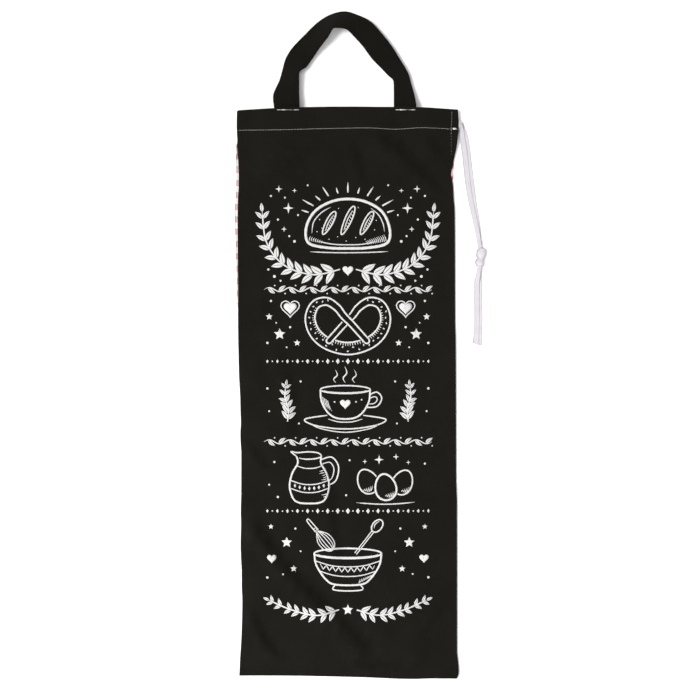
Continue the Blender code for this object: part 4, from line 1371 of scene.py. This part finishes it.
def seam_stitches(line, tree, from_below, radius, pitch=STITCH_PITCH, length=STITCH_LENGTH):
    """A row of stitches along (x, y) points on a surface; radius(y) is theirs."""
    spots, run, mark = [], 0.0, 0.0
    for a, b in zip(line, line[1:]):
        a, b = Vector(a), Vector(b)
        reach = (b - a).length
        while mark <= run + reach:
            spots.append((a.lerp(b, (mark - run) / reach), (b - a).normalized()))
            mark += pitch
        run += reach
    parts = []
    lift = THREAD_RADIUS * (-0.7 if from_below else 0.4)
    for k, (spot, way) in enumerate(spots):
        slant = Vector((-way.y, way.x)) * STITCH_SLANT * sin(2.3 * k)
        ends = (spot - slant, spot + way * length + slant)
        start, end = (laid_on(tree, p.x, p.y, lift, from_below) for p in ends)
        if start and end and (end - start).length < 2 * length:
            parts.append(stitch(start, end, -UP if from_below else UP, radius(spot.y) * (1 + 0.1 * sin(1.9 * k))))
    return parts


def tacks(x0, x1, y, count, height, radius, sizes):
    """A bar tack: stitches worked closely from end to end, twice, thicker where sizes says so along it."""
    parts = []
    step = (x1 - x0) / count
    for row, shift in enumerate((-0.4, 0.4)):
        for k in range(count):
            size = radius * at(list(enumerate(sizes)), (len(sizes) - 1) * k / (count - 1))
            jog = height * (0.5 * sin(4.1 * k + 2.0 * row) + shift)
            here = (x0 + step * k, y + jog)
            there = (here[0] + step * 1.25, y - jog * 0.7)
            start, end = (laid_on(FRONT_TREE, *p, size * 0.5) for p in (here, there))
            parts.append(stitch(start, end, UP, size * (1 + 0.12 * sin(2.7 * k))))
    return parts


def panel_rows(tree, from_below=False):
    """A panel's rows of stitches: along its casing, and beside its slit, where they sink into the cloth."""
    casing = [(x, at(STITCH_LINE, x) + 0.00010 * uneven(x, 0.9)) for x in even(CASING_ENDS, CASING_POINTS)]
    slit = [(at(SLIT_STITCH, y), true_y(SLIT_X, y)) for y in even(SLIT_ENDS, SLIT_POINTS)]

    def slit_radius(y):
        return 0.00006 + 0.00011 * ramp(y, SLIT_SUNK)

    return joined(
        seam_stitches(casing, tree, from_below, lambda y: THREAD_RADIUS)
        + seam_stitches(slit, tree, from_below, slit_radius, **SLIT_ROW)
    )


def strap_rows():
    """The strap's two rows of black stitches, on both of its faces."""
    tree = surface_tree(strap)
    parts = []
    for from_middle in HANDLE_ROWS:
        line = []
        for outer, inner in handle_sections(HANDLE_STEPS):
            share = 0.5 + from_middle / (inner - outer).length
            line.append(outer.lerp(inner, min(max(share, 0.06), 0.94)).xy)
        for below in (False, True):
            parts += seam_stitches(line, tree, below, lambda y: STRAP_THREAD_RADIUS, **STRAP_ROW)
    return joined(parts)


def frays():
    """The yarns that stick out of the tails' cut ends."""
    parts = []
    for rows, seed in ((LEFT_TAIL, 0.4), (RIGHT_TAIL, 2.2)):
        x, y, z, width = settled(rows[-1])
        for k in range(FRAY_YARNS):
            share = 2 * k / (FRAY_YARNS - 1) - 1
            start = Vector((x + share * width * 0.46, y - share * TAIL_SLANT + 0.0004, z))
            way = Vector((0.30 * share + 0.25 * sin(4.3 * k + seed), -1, 0.12 * sin(3.1 * k + seed)))
            reach = 0.0010 + 0.0005 * sin(2.9 * k + seed)
            parts.append(stitch(start, start + way * reach, UP, 0.00019 + 0.00010 * max(-share - 0.5, 0)))
    return joined(parts)


LEFT_TACK = (0.62, 0.72, 0.7, 1.0, 1.8, 1.2, 0.25, 0.3, 0.22, 0.22, 0.18, 0.3, 0.8, 0.85, 0.98)
RIGHT_TACK = (0.85, 1.15, 1.5, 2.5, 1.6, 1.0, 0.6, 0.15, 0.12, 0.25, 1.1, 1.15, 0.95)
SLIT_TACK = (0.6, 1.8, 1.35, 0.45)
tack_rows = joined(
    tacks(-0.0809, -0.0564, 0.2680, 15, TACK_HEIGHT, TACK_RADIUS, LEFT_TACK)
    + tacks(0.0545, 0.0766, 0.2680, 14, TACK_HEIGHT, TACK_RADIUS, RIGHT_TACK)
    + tacks(0.1196, 0.1240, 0.24695, 6, 0.00034, 0.00068, SLIT_TACK)
)
new_piece("stitching_front", *panel_rows(FRONT_TREE), THREAD, "white_thread")
new_piece("bar_tacks", *tack_rows, TACK_THREAD, "white_thread")
new_piece("stitching_back", *panel_rows(surface_tree(back), True), THREAD, "white_thread")
new_piece("stitching_strap", *strap_rows(), DARK_THREAD, "black_cloth")
new_piece("frayed_tape_ends", *frays(), THREAD, "white_tape")

# ---------------------------------------------------------------- floor and light

FLOOR_REACH = 9

floor_material = bpy.data.materials.new("floor")
floor_material.use_nodes = True
floor_shader = floor_material.node_tree.nodes["Principled BSDF"]
for key, value in (
    ("Base Color", (0.93, 0.93, 0.93, 1.0)),
    ("Roughness", 0.95),
    ("Emission Color", (1.0, 0.985, 0.99, 1.0)),
    ("Emission Strength", 0.06),
    ("Specular IOR Level", 0.0),
):
    floor_shader.inputs[key].default_value = value
floor_mesh = bpy.data.meshes.new("floor")
floor_corners = [(FLOOR_REACH * i, FLOOR_REACH * j, 0) for i, j in ((-1, -1), (1, -1), (1, 1), (-1, 1))]
floor_mesh.from_pydata(floor_corners, [], [(0, 1, 2, 3)])
floor_mesh.materials.append(floor_material)
floor = bpy.data.objects.new("floor", floor_mesh)
floor.location.z = -0.0002
bpy.context.scene.collection.objects.link(floor)

world = bpy.data.worlds.new("studio")
world.use_nodes = True
backdrop = world.node_tree.nodes["Background"]
backdrop.inputs["Color"].default_value = (1.0, 0.975, 1.0, 1.0)
backdrop.inputs["Strength"].default_value = 0.33
bpy.context.scene.world = world


def add_light(name, kind, energy, way, place=(0, 0, 0), **settings):
    """A light that shines from the way's far end towards its start."""
    data = bpy.data.lights.new(name, kind)
    data.energy = energy
    for key, value in settings.items():
        setattr(data, key, value)
    light = bpy.data.objects.new(name, data)
    light.location = place
    light.rotation_euler = Vector(way).to_track_quat("Z", "Y").to_euler()
    bpy.context.scene.collection.objects.link(light)


# Two distant lights from the left, and soft boxes beyond the bag's foot and on its right.
add_light("key", "SUN", 2.8, (-0.60, 0.11, 0.79), angle=radians(21))
add_light("overhead", "SUN", 0.5, (-0.16, 0.34, 0.93), angle=radians(30))
for name, power, size, place, aim in (
    ("foot_box", 5.4, 0.60, (-0.40, -0.90, 0.55), (-0.05, -0.25, 0.0)),
    ("right_box", 0.5, 0.35, (0.42, 0.05, 0.28), (0.14, 0.12, 0.0)),
):
    add_light(name, "AREA", power, Vector(place) - Vector(aim), place, size=size)

bpy.context.scene.view_settings.view_transform = "Standard"
bpy.context.scene.view_settings.look = "None"
